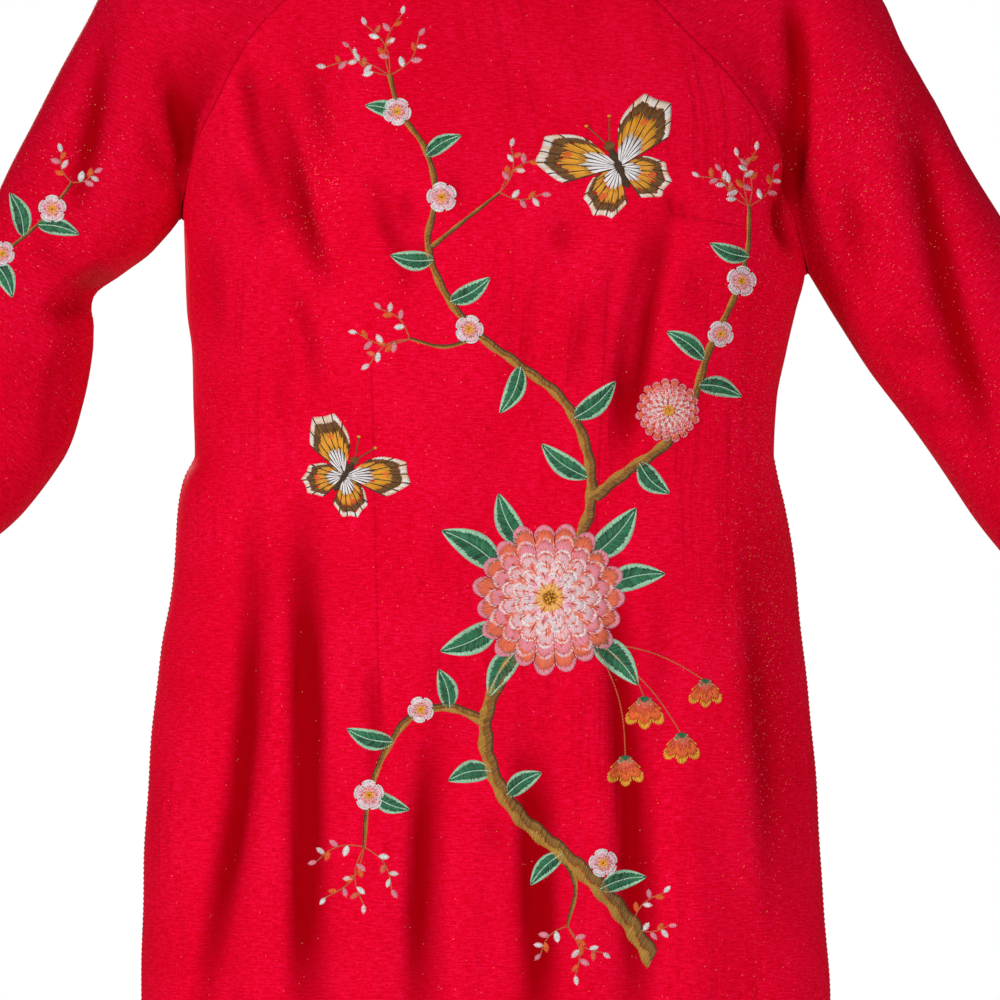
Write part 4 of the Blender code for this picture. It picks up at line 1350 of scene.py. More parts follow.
# %% Where the foil thread sparkles most
# The foil's glints are painted dots. FEWEST_GLINTS sets how many there are everywhere, and the
# table places more of them in some patches.
FEWEST_GLINTS = 0.002
GLINTS = table("face at reach most", (
    (-1, (186, -430), (22, 190), 0.1),
    (-1, (262, -190), (46, 100), 0.07),
    (-1, (350, -320), (50, 120), 0.04),
    (-1, (-95, -215), (16, 50), 0.09),
    (-1, (-260, -230), (50, 110), 0.03),
    (1, (-150, -500), (60, 230), 0.09),
))


def paint_glints(piece):
    mesh = piece.data
    place = np.empty(len(mesh.vertices) * 3)
    mesh.vertices.foreach_get("co", place)
    x, y, z = (place.reshape(-1, 3) / MM).T
    much = np.full(len(x), FEWEST_GLINTS)
    for spot in GLINTS:
        away = (((x - spot["at"][0]) / spot["reach"][0]) ** 2
                + ((z - spot["at"][1]) / spot["reach"][1]) ** 2)
        much += spot["most"] * np.exp(-away) * (y * spot["face"] > 0)
    mesh.attributes.new("glint", "FLOAT", "POINT").data.foreach_set("value", much)


# Painted shade: the sleeves and collar take the same silk a little darker, not another dye.
panel_silk = silk_material("slubbed_silk_darted", "#EE042C", "#D6021C", "#FC1246", darts=True)
darker_shaded_silk = silk_material("slubbed_silk", "#DE042A", "#C4021A", "#EF0F40")
for name, piece in cloth.items():
    paint_glints(piece)
    piece.data.materials.clear()
    piece.data.materials.append(panel_silk if name.endswith("panel") else darker_shaded_silk)
print("silk nodes:", len(panel_silk.node_tree.nodes))

# %% [markdown]
# ## Sewing thread
# The hems are sewn with spun polyester thread in the colour of the cloth, a shade deeper, with a
# low gloss. Its twist is finer than a render shows, so it is a small change of colour along it.

# %% The sewing thread's material
sewing_thread, shader = new_material("spun_polyester_thread")
twist = add_node(sewing_thread, "TexWave", {"Vector": object_place(sewing_thread),
                                            "Scale": 900.0, "Distortion": 2.0},
                 bands_direction="DIAGONAL")
shade = mix_colours(sewing_thread, twist.outputs["Fac"], linear("#A80416"), linear("#C8061E"))
wire(shader, {"Base Color": shade, "Roughness": 0.5, "Specular IOR Level": 0.3})
for piece in stitched.values():
    piece.data.materials.append(sewing_thread)

# %% [markdown]
# ## Embroidery
# The front carries a machine-embroidered spray of chrysanthemum, plum blossom and butterflies, and
# the left sleeve a small twig. It could be a picture laid on the cloth, but raised satin threads
# are what the eye reads as embroidery. So each stitch is placed as a short line in the front view,
# is dropped on to the cloth, and becomes a thread. The layout is kept as small tables.

# %% Layout of the embroidery
LEAF = "base tip width bend"
SPRAY = "tip way spread reach stems"
BLOOM = "at size turn"
BRANCHES = table("widths route", (
    ((11, 2.6), ((117, -699), (99, -671), (80, -649), (57, -628), (33, -607), (16, -579),
     (12, -547), (24, -516), (43, -488), (63, -449), (77, -415), (75, -380), (60, -349),
     (34, -328), (7, -308), (-13, -283), (-24, -252), (-19, -221), (-26, -192), (-42, -168),
     (-48, -146))),
    ((7.4, 2.2), ((77, -411), (100, -393), (124, -376), (141, -349), (152, -316), (167, -285),
     (176, -253), (177, -227))),
    ((5.8, 1.9), ((12, -549), (-10, -540), (-31, -544), (-49, -566), (-60, -596), (-63, -626))),
    ((3.6, 1.5), ((57, -627), (68, -649), (63, -675))),
    ((2.8, 1.3), ((-23, -255), (-2, -238), (21, -220))),
    ((2.6, 1.3), ((7, -310), (-13, -316), (-35, -311))),
))
SPRAYS = table(SPRAY, (
    ((-48, -146), 112, 120, 40, 5),
    ((177, -227), 104, 96, 36, 5),
    ((-63, -626), -112, 110, 40, 4),
    ((63, -675), -86, 90, 31, 3),
    ((21, -220), 38, 84, 33, 3),
    ((-35, -311), 172, 84, 33, 3),
    ((103, -676), 22, 50, 29, 2),
))
PLUM_BLOSSOMS = table(BLOOM, (
    ((172, -274), 9.6, 10),
    ((159, -307), 8.3, 50),
    ((-15, -223), 9.6, 30),
    ((2, -305), 9, 0),
    ((-43, -169), 9, 60),
    ((-60, -594), 9.6, 20),
    ((-28, -541), 8.3, 44),
    ((85, -636), 9, 30),
))
LEAVES = table(LEAF, (
    ((87, -465), (124, -457), 16.6, 2.6),
    ((77, -447), (106, -416), 18.6, -2.6),
    ((36, -440), (20, -407), 16, 2.6),
    ((21, -453), (-15, -430), 19.2, -2.6),
    ((20, -488), (-16, -505), 17.3, 2.6),
    ((33, -503), (14, -533), 16, -2.6),
    ((78, -497), (107, -526), 17.9, 2.6),
    ((76, -397), (47, -376), 14.1, 2.6),
    ((67, -360), (93, -337), 14.1, -2.6),
    ((34, -328), (21, -357), 12.8, 2.6),
    ((-10, -288), (15, -273), 12.2, -1.9),
    ((-20, -262), (-47, -259), 12.8, 1.9),
    ((108, -388), (127, -407), 14.1, -2.6),
    ((145, -339), (173, -346), 12.8, 2.6),
    ((149, -323), (125, -306), 12.2, -1.9),
    ((177, -259), (152, -251), 11.5, 1.9),
    ((16, -579), (-11, -585), 14.1, -2.6),
    ((25, -594), (47, -580), 12.8, 1.9),
    ((-10, -540), (-17, -516), 12.8, -1.9),
    ((-45, -561), (-74, -553), 12.8, 2.6),
    ((-58, -593), (-35, -603), 11.5, -1.9),
    ((83, -652), (112, -645), 12.8, 1.9),
    ((60, -630), (40, -650), 11.5, -1.9),
    ((-25, -197), (-3, -184), 10.9, 1.9),
    ((-40, -172), (-63, -165), 10.9, -1.9),
))
BELLFLOWERS = table("hangs_from at size", (
    ((79, -500), (111, -544), 9.6),
    ((79, -500), (134, -566), 9),
    ((79, -500), (99, -580), 9),
    ((79, -500), (149, -532), 8.3),
))
BUTTERFLIES = table("at span turn", (
    ((95, -204), 96, 24),
    ((-76, -396), 76, -34),
))
CHRYSANTHEMUMS = table(BLOOM, (
    ((52, -472), 47, 0),
    ((126, -355), 20, 20),
))
SLEEVE_TWIGS = table("widths route", (
    ((2.6, 1.3), ((-324, -274), (-301, -259), (-280, -244), (-263, -228), (-250, -210))),
))
SLEEVE_SPRAYS = table(SPRAY, (
    ((-250, -210), 66, 80, 20, 2),
))
SLEEVE_LEAVES = table(LEAF, (
    ((-301, -259), (-287, -283), 12.8, 2.6),
    ((-280, -244), (-290, -216), 12.8, -2.6),
    ((-271, -237), (-245, -243), 11.5, 1.9),
    ((-314, -268), (-324, -242), 11.5, -1.9),
))
SLEEVE_BLOSSOMS = table(BLOOM, (
    ((-262, -227), 9, 20),
    ((-294, -255), 8.3, 50),
))
print(f"leaves: {len(LEAVES) + len(SLEEVE_LEAVES)}, blossoms: {len(PLUM_BLOSSOMS)}")

# %% Thread colours
THREADS = {
    "bark_light": "#CB9434", "bark_dark": "#7D5117", "stem": "#DC6A38",
    "leaf_dark": "#1C6644", "leaf_mid": "#3B9A68", "leaf_pale": "#BCEBCB", "leaf_deep": "#11482F",
    "coral": "#FC7E58", "coral_deep": "#E8563F", "rose": "#FFA0B4", "rose_pale": "#FFD6DF",
    "white": "#FFFFFF", "blush": "#FFEDF1", "gold": "#FFB62A", "gold_deep": "#DC8C18",
    "orange": "#FF7220", "brown": "#8C5A1A", "umber": "#52330F",
}
THREADS = {name: np.array(linear(swatch)[:3]) for name, swatch in THREADS.items()}
STITCH_SPACING = 0.72
STITCH_WIDTH = 0.98
SATIN_HEIGHT = 0.42
chance = np.random.default_rng(1972)


def stitches(starts, ends, colours, lift=0.0):
    """A group of stitches: where each starts and ends in the front view, its colour and lift."""
    starts, ends = np.atleast_2d(starts).astype(float), np.atleast_2d(ends).astype(float)
    colours = np.broadcast_to(colours, (len(starts), 3))
    return [(starts, ends, colours, np.full(len(starts), lift))]


def gather(groups):
    return [np.concatenate(parts) for parts in zip(*groups)]


def shades(first, second, most, count):
    """A colour for each stitch, by chance up to a share of the way from one to the other."""
    share = chance.uniform(0, most, (count, 1))
    return THREADS[first] * (1 - share) + THREADS[second] * share


def across_of(way):
    return np.stack([-way[..., 1], way[..., 0]], axis=-1)


# %% Stitches of leaves and petals
STEM_STITCH = 2.4
STEM_PITCH = STEM_STITCH * 0.8
SHORTEST_STITCH = 0.6
STEM_LIFT = 0.02
STEM_POINTS = 12
LEAF_SLANT = 0.16
LEAF_LOW = 0.8
LEAF_FULL = 0.75
LEAF_OVERLAP = 0.1
RIM_SHARE = 0.74
RIM_JITTER = 0.08
RIM_LIFT = 0.05
RIB_END = 0.94
RIB_LIFT = 0.25
PETAL_FOOT = 0.22
PETAL_ROUND = 0.42
PETAL_JITTER = 0.12
PETAL_OVERLAP = 0.08
PETAL_RIM_JITTER = 0.04
LAYER_LIFT = 0.04
OVAL_END = 0.96
BUD_SHADE = 0.12


def laid(base, tip):
    """A motif's base, its way to the tip, the way across it, and its length."""
    base, tip = np.array(base, float), np.array(tip, float)
    way = unit(tip - base)
    return base, way, across_of(way), np.linalg.norm(tip - base)


def between(starts, ends, share):
    return starts + (ends - starts) * share


def spoke(at, degrees, reach):
    """The point at a distance from another, at an angle to the level."""
    turn = math.radians(degrees)
    return np.array(at, float) + reach * np.array([math.cos(turn), math.sin(turn)])


def bowed(base, tip, bend, t):
    """Points on a line from base to tip that bends to one side in the middle."""
    base, tip = np.array(base, float), np.array(tip, float)
    t = np.reshape(t, (-1, 1))
    return base + (tip - base) * t + across_of(unit(tip - base)) * bend * np.sin(np.pi * t)


def running_line(line, colour, lift=0.0, shade=0.15):
    """A line of stem stitches that overlap a little."""
    whole = line_lengths(line)[-1]
    at = np.arange(0, max(whole - SHORTEST_STITCH, SHORTEST_STITCH), STEM_PITCH)
    starts, ends = (points_at(line, where) for where in (at, np.minimum(at + STEM_STITCH, whole)))
    colours = THREADS[colour] * (1 - chance.uniform(0, shade, (len(at), 1)))
    return stitches(starts, ends, colours, lift)


def leaf(base, tip, width, bend, lift=0.1):
    """Satin stitches that slant from the midrib to the edge, with a pale rim and midrib."""
    _, _, aside, length = laid(base, tip)
    t = np.linspace(0.0, 1.0, int(length / STITCH_SPACING))
    slanted = np.clip(t + LEAF_SLANT * np.sin(np.pi * t), 0, 1)
    half = width / 2 * np.sin(np.pi * slanted**LEAF_LOW) ** LEAF_FULL
    inner = bowed(base, tip, bend, t)
    groups = []
    for side, dark in ((-1, "leaf_dark"), (1, "leaf_deep")):
        outer = bowed(base, tip, bend, slanted) + side * aside * half[:, None]
        split = RIM_SHARE + chance.uniform(-RIM_JITTER, RIM_JITTER, len(t))[:, None]
        middle = between(inner, outer, split)
        colours = shades(dark, "leaf_mid", 0.75, len(t))
        groups += stitches(inner, middle, colours, lift)
        colours = shades("leaf_pale", "leaf_mid", 0.25, len(t))
        groups += stitches(between(middle, inner, LEAF_OVERLAP), outer, colours, lift + RIM_LIFT)
    rib = bowed(base, tip, bend, np.linspace(0, RIB_END, STEM_POINTS))
    return groups + running_line(rib, "leaf_pale", lift + RIB_LIFT, shade=0.2)


def petal(base, tip, width, inner, outer, lift, rim="white", rim_share=0.12):
    """Long and short stitches that run from a petal's base to its round tip."""
    base, way, aside, length = laid(base, tip)
    s = np.linspace(-1, 1, max(int(width / STITCH_SPACING), 3))[:, None]
    starts = base + aside * s * width * PETAL_FOOT
    reach = 1 - PETAL_ROUND * (1 - np.sqrt(np.clip(1 - s**2, 0, 1)))
    ends = base + way * length * reach + aside * s * width / 2
    jitter = chance.uniform(-PETAL_JITTER, PETAL_JITTER, s.shape)
    rim_jitter = chance.uniform(-PETAL_RIM_JITTER, PETAL_RIM_JITTER, s.shape)
    middle = between(starts, ends, 0.5 + jitter)
    rim_at = between(starts, ends, 1 - rim_share + rim_jitter)
    return (stitches(starts, middle, shades(inner, outer, 0.3, len(s)), lift)
            + stitches(between(middle, starts, PETAL_OVERLAP), rim_at,
                       shades(outer, inner, 0.25, len(s)), lift + LAYER_LIFT)
            + stitches(between(rim_at, middle, PETAL_OVERLAP), ends, THREADS[rim],
                       lift + 2 * LAYER_LIFT))


def bud(at, size, degrees, colour, lift=0.15, slim=0.72):
    """A small oval of satin stitches that lie across it."""
    way = spoke((0, 0), degrees, 1.0)
    s = np.linspace(-OVAL_END, OVAL_END, max(int(2 * size / STITCH_SPACING), 4))[:, None]
    reach = across_of(way) * np.sqrt(1 - s**2) * size * slim
    middle = np.array(at, float) + way * s * size
    shade = THREADS[colour] * (1 - chance.uniform(0, BUD_SHADE, (len(s), 1)))
    return stitches(middle - reach, middle + reach, shade, lift)


# %% Stitches of branches and sprays
BRANCH_SLANT = 1.1
KNOT_SPACING = 17.0
KNOT_SWELL = 0.16
BARK_ROUGH = 0.05
BARK_WANDER = 0.12
BARK_JITTER = 0.07
BARK_OVERLAP = 0.12
BARK_LIFT = 0.03
SPRAY_JITTER = 5
SPRAY_REACH = (0.78, 0.22)
BUD_COLOURS = ("white", "rose", "orange", "blush", "rose", "orange", "white", "coral", "blush")
TWIG_BEND = 0.16
BUD_JOINTS = (3, 5, 7, 8, 10)
BUD_LEAN = 52
BUD_SIZE = 3.1
BUD_SHRINK = 0.12
BUD_JITTER = 0.25
BUD_CLEAR = 1.15


def branch(route, widths, lift=0.0):
    """Slanting satin across a branch, light on one side and dark on the other, with knots."""
    route = np.array(route, float)
    lengths = line_lengths(route)
    at = np.arange(0, lengths[-1], STITCH_SPACING)
    line = rows_between(route[:, None, :], lengths, at)[:, 0]
    way = unit(np.gradient(line, axis=0))
    aside = across_of(way)
    width = widths[0] + (widths[1] - widths[0]) * (at / lengths[-1])
    bumps = np.sin(np.arange(len(line)) * STITCH_SPACING * 2 * np.pi / KNOT_SPACING)
    rough = BARK_ROUGH * chance.uniform(-1, 1, len(line))
    half = (width * (1 + KNOT_SWELL * bumps + rough) / 2)[:, None]
    left, right = line + aside * half, line - aside * half + way * half * BRANCH_SLANT
    jitter = chance.uniform(-BARK_JITTER, BARK_JITTER, half.shape)
    middle = between(left, right, 0.5 + BARK_WANDER * bumps[:, None] + jitter)
    colours = shades("bark_light", "bark_dark", 0.25, len(line))
    groups = stitches(left, middle, colours, lift)
    colours = shades("bark_dark", "bark_light", 0.5, len(line))
    groups += stitches(between(middle, left, BARK_OVERLAP), right, colours, lift + BARK_LIFT)
    return groups + running_line(right[::4], "umber", lift + 2 * BARK_LIFT, shade=0.1)


def spray(tip, way, spread, reach, stems):
    """Thin curved stems that fan out from a twig's tip, with slim buds on both sides of each."""
    groups = []
    for i in range(stems):
        turn = (way + spread * (i / (stems - 1) - 0.5)
                + chance.uniform(-SPRAY_JITTER, SPRAY_JITTER))
        length = reach * (SPRAY_REACH[0] + SPRAY_REACH[1] * ((i * 2) % 3) / 2)
        bend = length * TWIG_BEND * (1 if i % 2 else -1)
        stem = bowed(tip, spoke(tip, turn, length), bend,
                     np.linspace(0, 1, BUD_JOINTS[-1] + 1))
        groups += running_line(stem, "stem", STEM_LIFT)
        for k, joint in enumerate(BUD_JOINTS):
            lean = turn + (0 if joint == BUD_JOINTS[-1] else BUD_LEAN * (-1) ** k)
            size = BUD_SIZE - BUD_SHRINK * k + chance.uniform(-BUD_JITTER, BUD_JITTER)
            groups += bud(spoke(stem[joint], lean, size * BUD_CLEAR), size, lean,
                          BUD_COLOURS[(i * 2 + k) % len(BUD_COLOURS)], slim=0.62)
    return groups


# %% Stitches of blossoms and chrysanthemums
BLOOM_LIFT = 0.45
RING_LIFT = 0.22
ALTERNATE_LIFT = 0.06
GOLDEN_TURN = math.degrees(2.39996)
PLUM_PETALS = 5
PLUM_FOOT = 0.12
PLUM_WIDTH = 1.02
PLUM_LIFT = 0.05
STAMENS = 12
STAMEN_TURN = 12
STAMEN_FOOT = 0.06
STAMEN_REACH = (0.34, 0.12)
STAMEN_LIFT = 0.25
ANTHER_SIZE = 0.7
ANTHER_LIFT = 0.35
PETAL_UNEVEN = (0.035, 2.3)
VEIN_SHARE = 0.8
VEIN_LIFT = 0.13
HEART_DENSITY = 1.1
HEART_REACH = 0.17
HEART_KNOT = 0.85
HEART_TURN = 40
PETAL_RINGS = table("petals from to width inner outer rim", (
    (19, 0.5, 1.0, 0.3, "coral_deep", "coral", "rose"),
    (17, 0.4, 0.84, 0.27, "coral", "rose", "rose_pale"),
    (15, 0.28, 0.67, 0.24, "coral", "rose_pale", "white"),
    (12, 0.16, 0.5, 0.21, "rose", "blush", "white"),
    (9, 0.08, 0.34, 0.17, "gold", "blush", "white"),
))


def plum_blossom(at, size, turn):
    groups = []
    for i in range(PLUM_PETALS):
        angle = turn + 360 / PLUM_PETALS * i
        base, tip = (spoke(at, angle, reach) for reach in (size * PLUM_FOOT, size))
        groups += petal(base, tip, size * PLUM_WIDTH, "rose", "blush" if i % 2 else "rose_pale",
                        BLOOM_LIFT + PLUM_LIFT * (i % 2))
    for i in range(STAMENS):
        angle = turn + 360 / STAMENS * i + STAMEN_TURN
        base = spoke(at, angle, size * STAMEN_FOOT)
        end = spoke(at, angle, size * (STAMEN_REACH[0] + STAMEN_REACH[1] * (i % 2)))
        groups += stitches(base, end, THREADS["gold"], BLOOM_LIFT + STAMEN_LIFT)
        groups += bud(end, ANTHER_SIZE, 0, "gold_deep", BLOOM_LIFT + ANTHER_LIFT, slim=1.0)
    return groups


def chrysanthemum(at, size, turn):
    """Rings of narrow petals, each ring over the last and paler, round a golden middle."""
    groups = []
    for level, ring in enumerate(PETAL_RINGS):
        lift = BLOOM_LIFT + RING_LIFT * level
        for i in range(ring["petals"]):
            angle = turn + 360 * (i + 0.5 * (level % 2)) / ring["petals"]
            reach = ring["to"] * (1 + PETAL_UNEVEN[0] * math.sin(i * PETAL_UNEVEN[1] + level))
            base, tip = (spoke(at, angle, size * share) for share in (ring["from"], reach))
            groups += petal(base, tip, size * ring["width"], ring["inner"], ring["outer"],
                            lift + ALTERNATE_LIFT * (i % 2), ring["rim"])
            groups += stitches(base, between(base, tip, VEIN_SHARE), THREADS["coral_deep"],
                               lift + VEIN_LIFT)
    count = int(size * HEART_DENSITY)
    for i in range(count):
        place = spoke(at, i * GOLDEN_TURN, size * HEART_REACH * math.sqrt(i / count))
        groups += bud(place, HEART_KNOT, i * HEART_TURN, "gold" if i % 3 else "gold_deep",
                      BLOOM_LIFT + RING_LIFT * len(PETAL_RINGS), slim=1.0)
    return groups


# %% Stitches of bellflowers and butterflies
BELL_LENGTH = 2.0
BELL_WIDTH = 0.95
BELL_TURNS = (-124, -56, -90)
BELL_STEM_BEND = 6
CAP_LENGTH = 0.62
CAP_WIDTH = 0.42
CAP_TURNS = (-142, -38, -90)
CAP_RISE = (0, 0.5)
WING_SAMPLES = 400
WING_ROOT = 0.16
WING_TIP = 0.93
WING_LIFT = 0.1
SCALLOP_DEPTH = 0.07
BAND_OVERLAP = 0.03
BAND_JITTER = 0.05
VEINS = 6
SPOT_PLACE = 0.6
SPOT_SIZE = 0.032
BODY_LENGTH = 0.15
HEAD_SIZE = 0.034
ANTENNA_LENGTH = 0.2
ANTENNA_LEAN = math.degrees(0.42)
ANTENNA_TIP = 0.9
WINGS = table("from to reach scallops lift", (
    (-78, 2, 0.36, 4, 0.0),
    (8, 66, 0.56, 3, 0.12),
))
WING_BANDS = table("until colours", (
    (0.46, ("white", "blush")),
    (0.74, ("gold", "gold_deep")),
    (0.9, ("brown", "umber")),
    (1.0, ("white", "gold")),
))


def bellflower(hangs_from, at, size):
    """A hanging bell of three petals on a thin curved stem, under a small green cap."""
    crown = np.array(at, float) + (0, size)
    stem = bowed(hangs_from, crown, BELL_STEM_BEND, np.linspace(0, 1, STEM_POINTS))
    groups = running_line(stem, "stem", STEM_LIFT)
    for level, turn in enumerate(BELL_TURNS):
        groups += petal(crown, spoke(crown, turn, size * BELL_LENGTH), size * BELL_WIDTH,
                        "coral_deep", "orange", 0.1 + 0.1 * level, rim="gold", rim_share=0.16)
    for turn in CAP_TURNS:
        groups += petal(crown + CAP_RISE, spoke(crown, turn, size * CAP_LENGTH),
                        size * CAP_WIDTH, "leaf_dark", "leaf_mid", lift=0.5,
                        rim="leaf_pale", rim_share=0.1)
    return groups


def wing(at, span, turn, side, shape):
    """Stitches that fan out from the body in bands of colour, to a scalloped edge."""
    groups = []
    sweep = np.radians(np.linspace(shape["from"], shape["to"], WING_SAMPLES))
    fullness = np.sin(np.linspace(WING_ROOT, 1, WING_SAMPLES) * np.pi * WING_TIP) ** 0.5
    scallops = np.linspace(0, shape["scallops"] * np.pi, WING_SAMPLES)
    reach = span * shape["reach"] * fullness * (1 - SCALLOP_DEPTH * np.abs(np.sin(scallops)))
    samples = np.arange(float(WING_SAMPLES))
    c, s = math.cos(math.radians(turn)), math.sin(math.radians(turn))
    before = BAND_OVERLAP
    for band in WING_BANDS:
        arc = np.concatenate([[0], np.cumsum(np.diff(sweep) * reach[1:] * band["until"])])
        count = max(int(arc[-1] / STITCH_SPACING), VEINS)
        pick = np.interp(np.linspace(0, arc[-1], count), arc, samples)
        angle, far = (np.interp(pick, samples, values) for values in (sweep, reach))
        jitter = chance.uniform(-BAND_JITTER, BAND_JITTER, (count, 2)) * (band["until"] < 1)
        out = np.stack([np.cos(angle) * side, np.sin(angle)], axis=-1) @ np.array([[c, s], [-s, c]])
        starts, ends = (np.array(at, float) + out * (far * (share + jitter[:, i]))[:, None]
                        for i, share in enumerate((before, band["until"])))
        vein = (np.arange(count) % max(count // VEINS, 2) == 0)[:, None]
        colours = np.where(vein, THREADS["umber"], shades(*band["colours"], 0.6, count))
        groups += stitches(starts, ends, colours, shape["lift"] + WING_LIFT)
        before = band["until"] - BAND_OVERLAP
    return groups


def butterfly(at, span, turn):
    groups = []
    for shape in WINGS:
        middle = (shape["from"] + shape["to"]) / 2
        for side, lean in ((-1, 180 - middle), (1, middle)):
            groups += wing(at, span, turn, side, shape)
            place = spoke(at, lean + turn, span * shape["reach"] * SPOT_PLACE)
            groups += bud(place, span * SPOT_SIZE, turn, "orange", lift=0.5, slim=1.0)
    up = turn + 90
    groups += bud(at, span * BODY_LENGTH, up, "umber", lift=0.5, slim=0.22)
    head = spoke(at, up, span * BODY_LENGTH)
    groups += bud(head, span * HEAD_SIZE, turn, "brown", lift=0.55, slim=1.0)
    for lean in (-ANTENNA_LEAN, ANTENNA_LEAN):
        tip = spoke(head, up + lean, span * ANTENNA_LENGTH)
        groups += running_line(np.array([head, (head + tip) / 2, tip]), "brown", lift=0.1)
        groups += bud(tip, ANTENNA_TIP, 0, "gold", lift=0.2, slim=1.0)
    return groups


# %% Lay the stitches on the cloth
RAY_START = -0.4
RAY_REACH = 0.42
ARCH_SHARE = 0.055
ARCH_MOST = 0.45
STRETCH_MOST = 1.7
THREAD_SHADES = (0.86, 1.06)


def sewn(name, groups, cloth_name):
    """Drops stitches on a piece of cloth from the front, and makes them threads.

    One that misses the cloth, or would be far longer there than in the front view, is left out.
    """
    starts, ends, colours, lifts = gather(groups)
    place = starts[:, None, :] + (ends - starts)[:, None, :] * STATION_SHARES[:, None]
    flat = place.reshape(-1, 2) * MM
    points, ways = np.full((len(flat), 3), np.nan), np.zeros((len(flat), 3))
    ahead = Vector((0, 1, 0))
    for i, (x, z) in enumerate(flat):
        found, way, _, _ = surface[cloth_name].ray_cast(Vector((x, RAY_START, z)),
                                                    ahead, RAY_REACH)
        if found is not None:
            points[i], ways[i] = found, way
    points = points.reshape(*place.shape[:2], 3) / MM
    ways = ways.reshape(*place.shape[:2], 3)
    run = np.linalg.norm(np.diff(points, axis=1), axis=-1).sum(axis=1)
    kept = run < STRETCH_MOST * np.linalg.norm(ends - starts, axis=1) + STITCH_WIDTH
    points, ways, colours, lifts = points[kept], unit(ways[kept]), colours[kept], lifts[kept]
    length = np.linalg.norm(points[:, -1] - points[:, 0], axis=-1)
    arch = np.minimum(length * ARCH_SHARE, ARCH_MOST)[:, None] * 4
    rise = lifts[:, None] + arch * STATION_SHARES * (1 - STATION_SHARES)
    points = points + ways * rise[..., None]
    shade = np.clip(colours * chance.uniform(*THREAD_SHADES, (len(colours), 1)), 0, 1)
    rgba = np.concatenate([shade, np.ones((len(shade), 1))], axis=1)
    return add_threads(name, points, ways, STITCH_WIDTH, SATIN_HEIGHT, rgba)


def all_of(make, rows):
    return [group for row in rows for group in make(**row)]


embroidery = {
    "branch_embroidery": all_of(branch, BRANCHES) + all_of(spray, SPRAYS),
    "leaf_embroidery": all_of(leaf, LEAVES),
    "chrysanthemum_embroidery": all_of(chrysanthemum, CHRYSANTHEMUMS),
    "blossom_embroidery": all_of(plum_blossom, PLUM_BLOSSOMS) + all_of(bellflower, BELLFLOWERS),
    "butterfly_embroidery": all_of(butterfly, BUTTERFLIES),
    "sleeve_embroidery": (all_of(branch, SLEEVE_TWIGS) + all_of(spray, SLEEVE_SPRAYS)
                          + all_of(leaf, SLEEVE_LEAVES) + all_of(plum_blossom, SLEEVE_BLOSSOMS)),
}
embroidered = {
    name: sewn(name, work, "sleeve_left" if name.startswith("sleeve") else "front_panel")
    for name, work in embroidery.items()}

# %% [markdown]
# Embroidery thread is trilobal rayon or polyester. It is bright and smooth, so each stitch has a
# soft highlight along it. Its colour is held on the thread's own points, and a fine twist breaks
# up the shine.

# %% The embroidery thread's material
rayon, shader = new_material("rayon_embroidery_thread")
dyed = add_node(rayon, "Attribute", attribute_name="thread").outputs["Color"]
spun = add_node(rayon, "TexNoise", {"Vector": object_place(rayon), "Scale": 1400.0,
                                    "Detail": 1.0}).outputs["Fac"]
deep = mix_colours(rayon, maths(rayon, "MULTIPLY", spun, 0.5), dyed, linear("#000000"))
twist = add_node(rayon, "Bump", {"Height": spun, "Strength": 0.25, "Distance": 0.0002})
wire(shader, {"Base Color": mix_colours(rayon, 0.65, deep, dyed),
              "Normal": twist.outputs["Normal"], "Roughness": 0.4,
              "Specular IOR Level": 0.4, "Sheen Weight": 0.1})
for piece in embroidered.values():
    piece.data.materials.append(rayon)

# %% [markdown]
# ## Studio
# The garment hangs in plain soft light over a pale floor. A wide lamp stands to the left of the
# front, so each fold is lit on its left side and shaded on its right. A weaker one from the right
# and the white room fill the shadows, and a third lamp lights the back.

# %% Floor and room
scene = bpy.context.scene
scene.view_settings.view_transform = "Standard"
FLOOR_HEIGHT = -1450.0
FLOOR_RADIUS = 2300.0
ROOM_LIGHT = 0.1
WHITE = (1, 1, 1, 1)

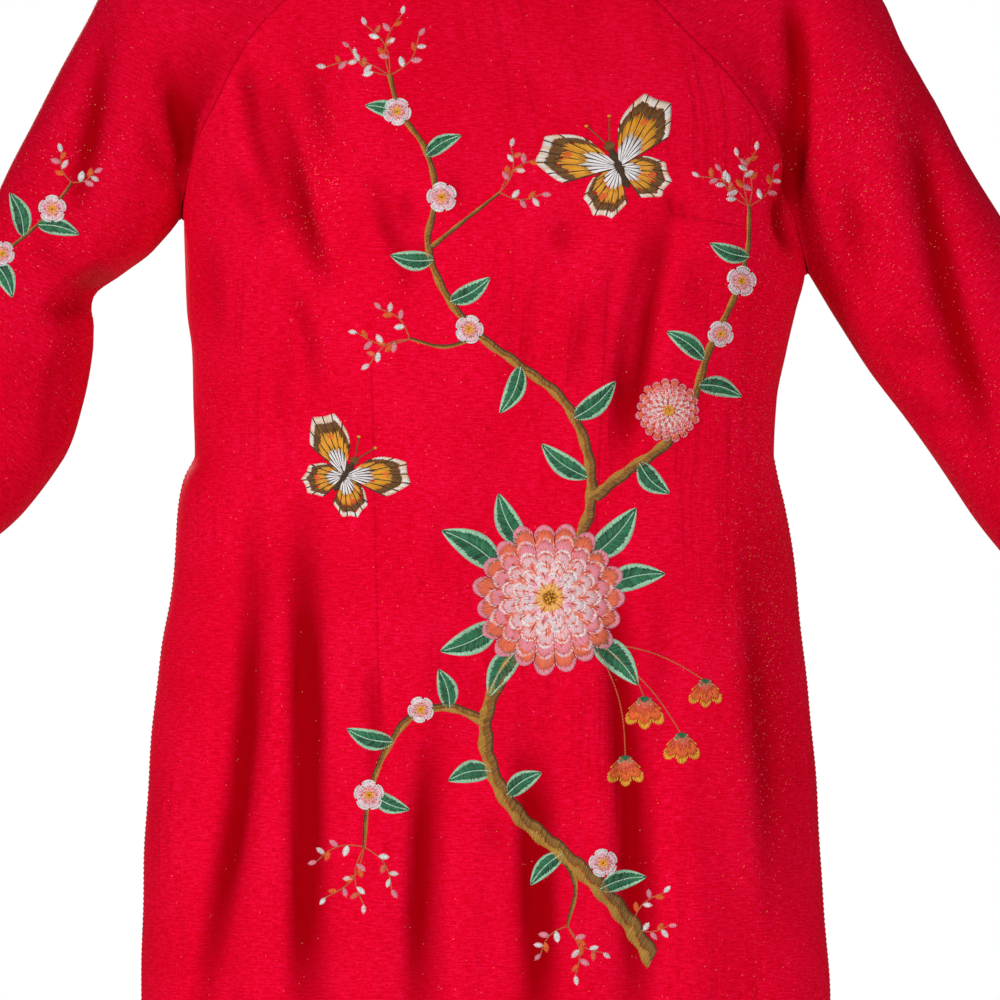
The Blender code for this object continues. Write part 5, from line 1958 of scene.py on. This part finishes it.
bm = bmesh.new()
bmesh.ops.create_circle(bm, cap_ends=True, segments=96, radius=FLOOR_RADIUS * MM)
bmesh.ops.translate(bm, verts=bm.verts, vec=(0, 0, FLOOR_HEIGHT * MM))
floor_mesh = bpy.data.meshes.new("floor")
bm.to_mesh(floor_mesh)
bm.free()
floor = add_object("floor", floor_mesh)
floor_paint, shader = new_material("matt_white_paint")
shade = add_node(floor_paint, "TexNoise", {"Vector": object_place(floor_paint), "Scale": 3.0})
tone = mix_colours(floor_paint, shade.outputs["Fac"], linear("#F2F2F0"), linear("#F8F8F7"))
wire(shader, {"Base Color": tone, "Roughness": 0.8})
floor_mesh.materials.append(floor_paint)

room = bpy.data.worlds.new("room")
scene.world = room
room.use_nodes = True
lighting = room.node_tree.nodes["Background"]
wire(lighting, {"Color": WHITE, "Strength": ROOM_LIGHT})
seen = add_node(room, "Background", {"Color": WHITE, "Strength": 1.0})
choose = add_node(room, "MixShader", {
    "Fac": add_node(room, "LightPath").outputs["Is Camera Ray"],
    1: lighting.outputs["Background"], 2: seen.outputs["Background"]})
wire(room.node_tree.nodes["World Output"], {"Surface": choose.outputs["Shader"]})

# %% Lamps
LAMPS = table("name at size watts", (
    ("wide_lamp", (-2520, -2520, 500), (800, 1600), 70),
    ("fill_lamp", (1700, -3100, 300), (1500, 1500), 56),
    ("rear_lamp", (-500, 3100, 800), (1400, 1800), 72),
))
LAMP_TARGET = Vector((20, 0, -480)) * MM

for lamp in LAMPS:
    light = bpy.data.lights.new(lamp["name"], "AREA")
    light.shape = "RECTANGLE"
    light.size, light.size_y = (side * MM for side in lamp["size"])
    light.energy = lamp["watts"]
    holder = add_object(lamp["name"], light)
    holder.location = Vector(lamp["at"]) * MM
    holder.rotation_euler = (LAMP_TARGET - holder.location).to_track_quat("-Z", "Y").to_euler()
print("lamps:", ", ".join(lamp["name"] for lamp in LAMPS))

# %% [markdown]
# ## What each piece stands for
# Each cloth piece replaces the plain wall of the same name, and the area of its cloth is worked
# out from its wall. The garment has no joints, so every piece rides on the one body.


def wall_area(piece, thickness):
    """The cloth's area, from the volume of its wall."""
    bm = bmesh.new()
    bm.from_mesh(piece.data)
    volume = abs(bm.calc_volume())
    bm.free()
    return volume / (thickness * MM)


for name, piece in cloth.items():
    measured = wall_area(piece, COLLAR_CLOTH if name == "collar" else CLOTH)
    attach(piece, "root")
    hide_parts(name)
for piece in (*stitched.values(), *embroidered.values()):
    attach(piece, "root")
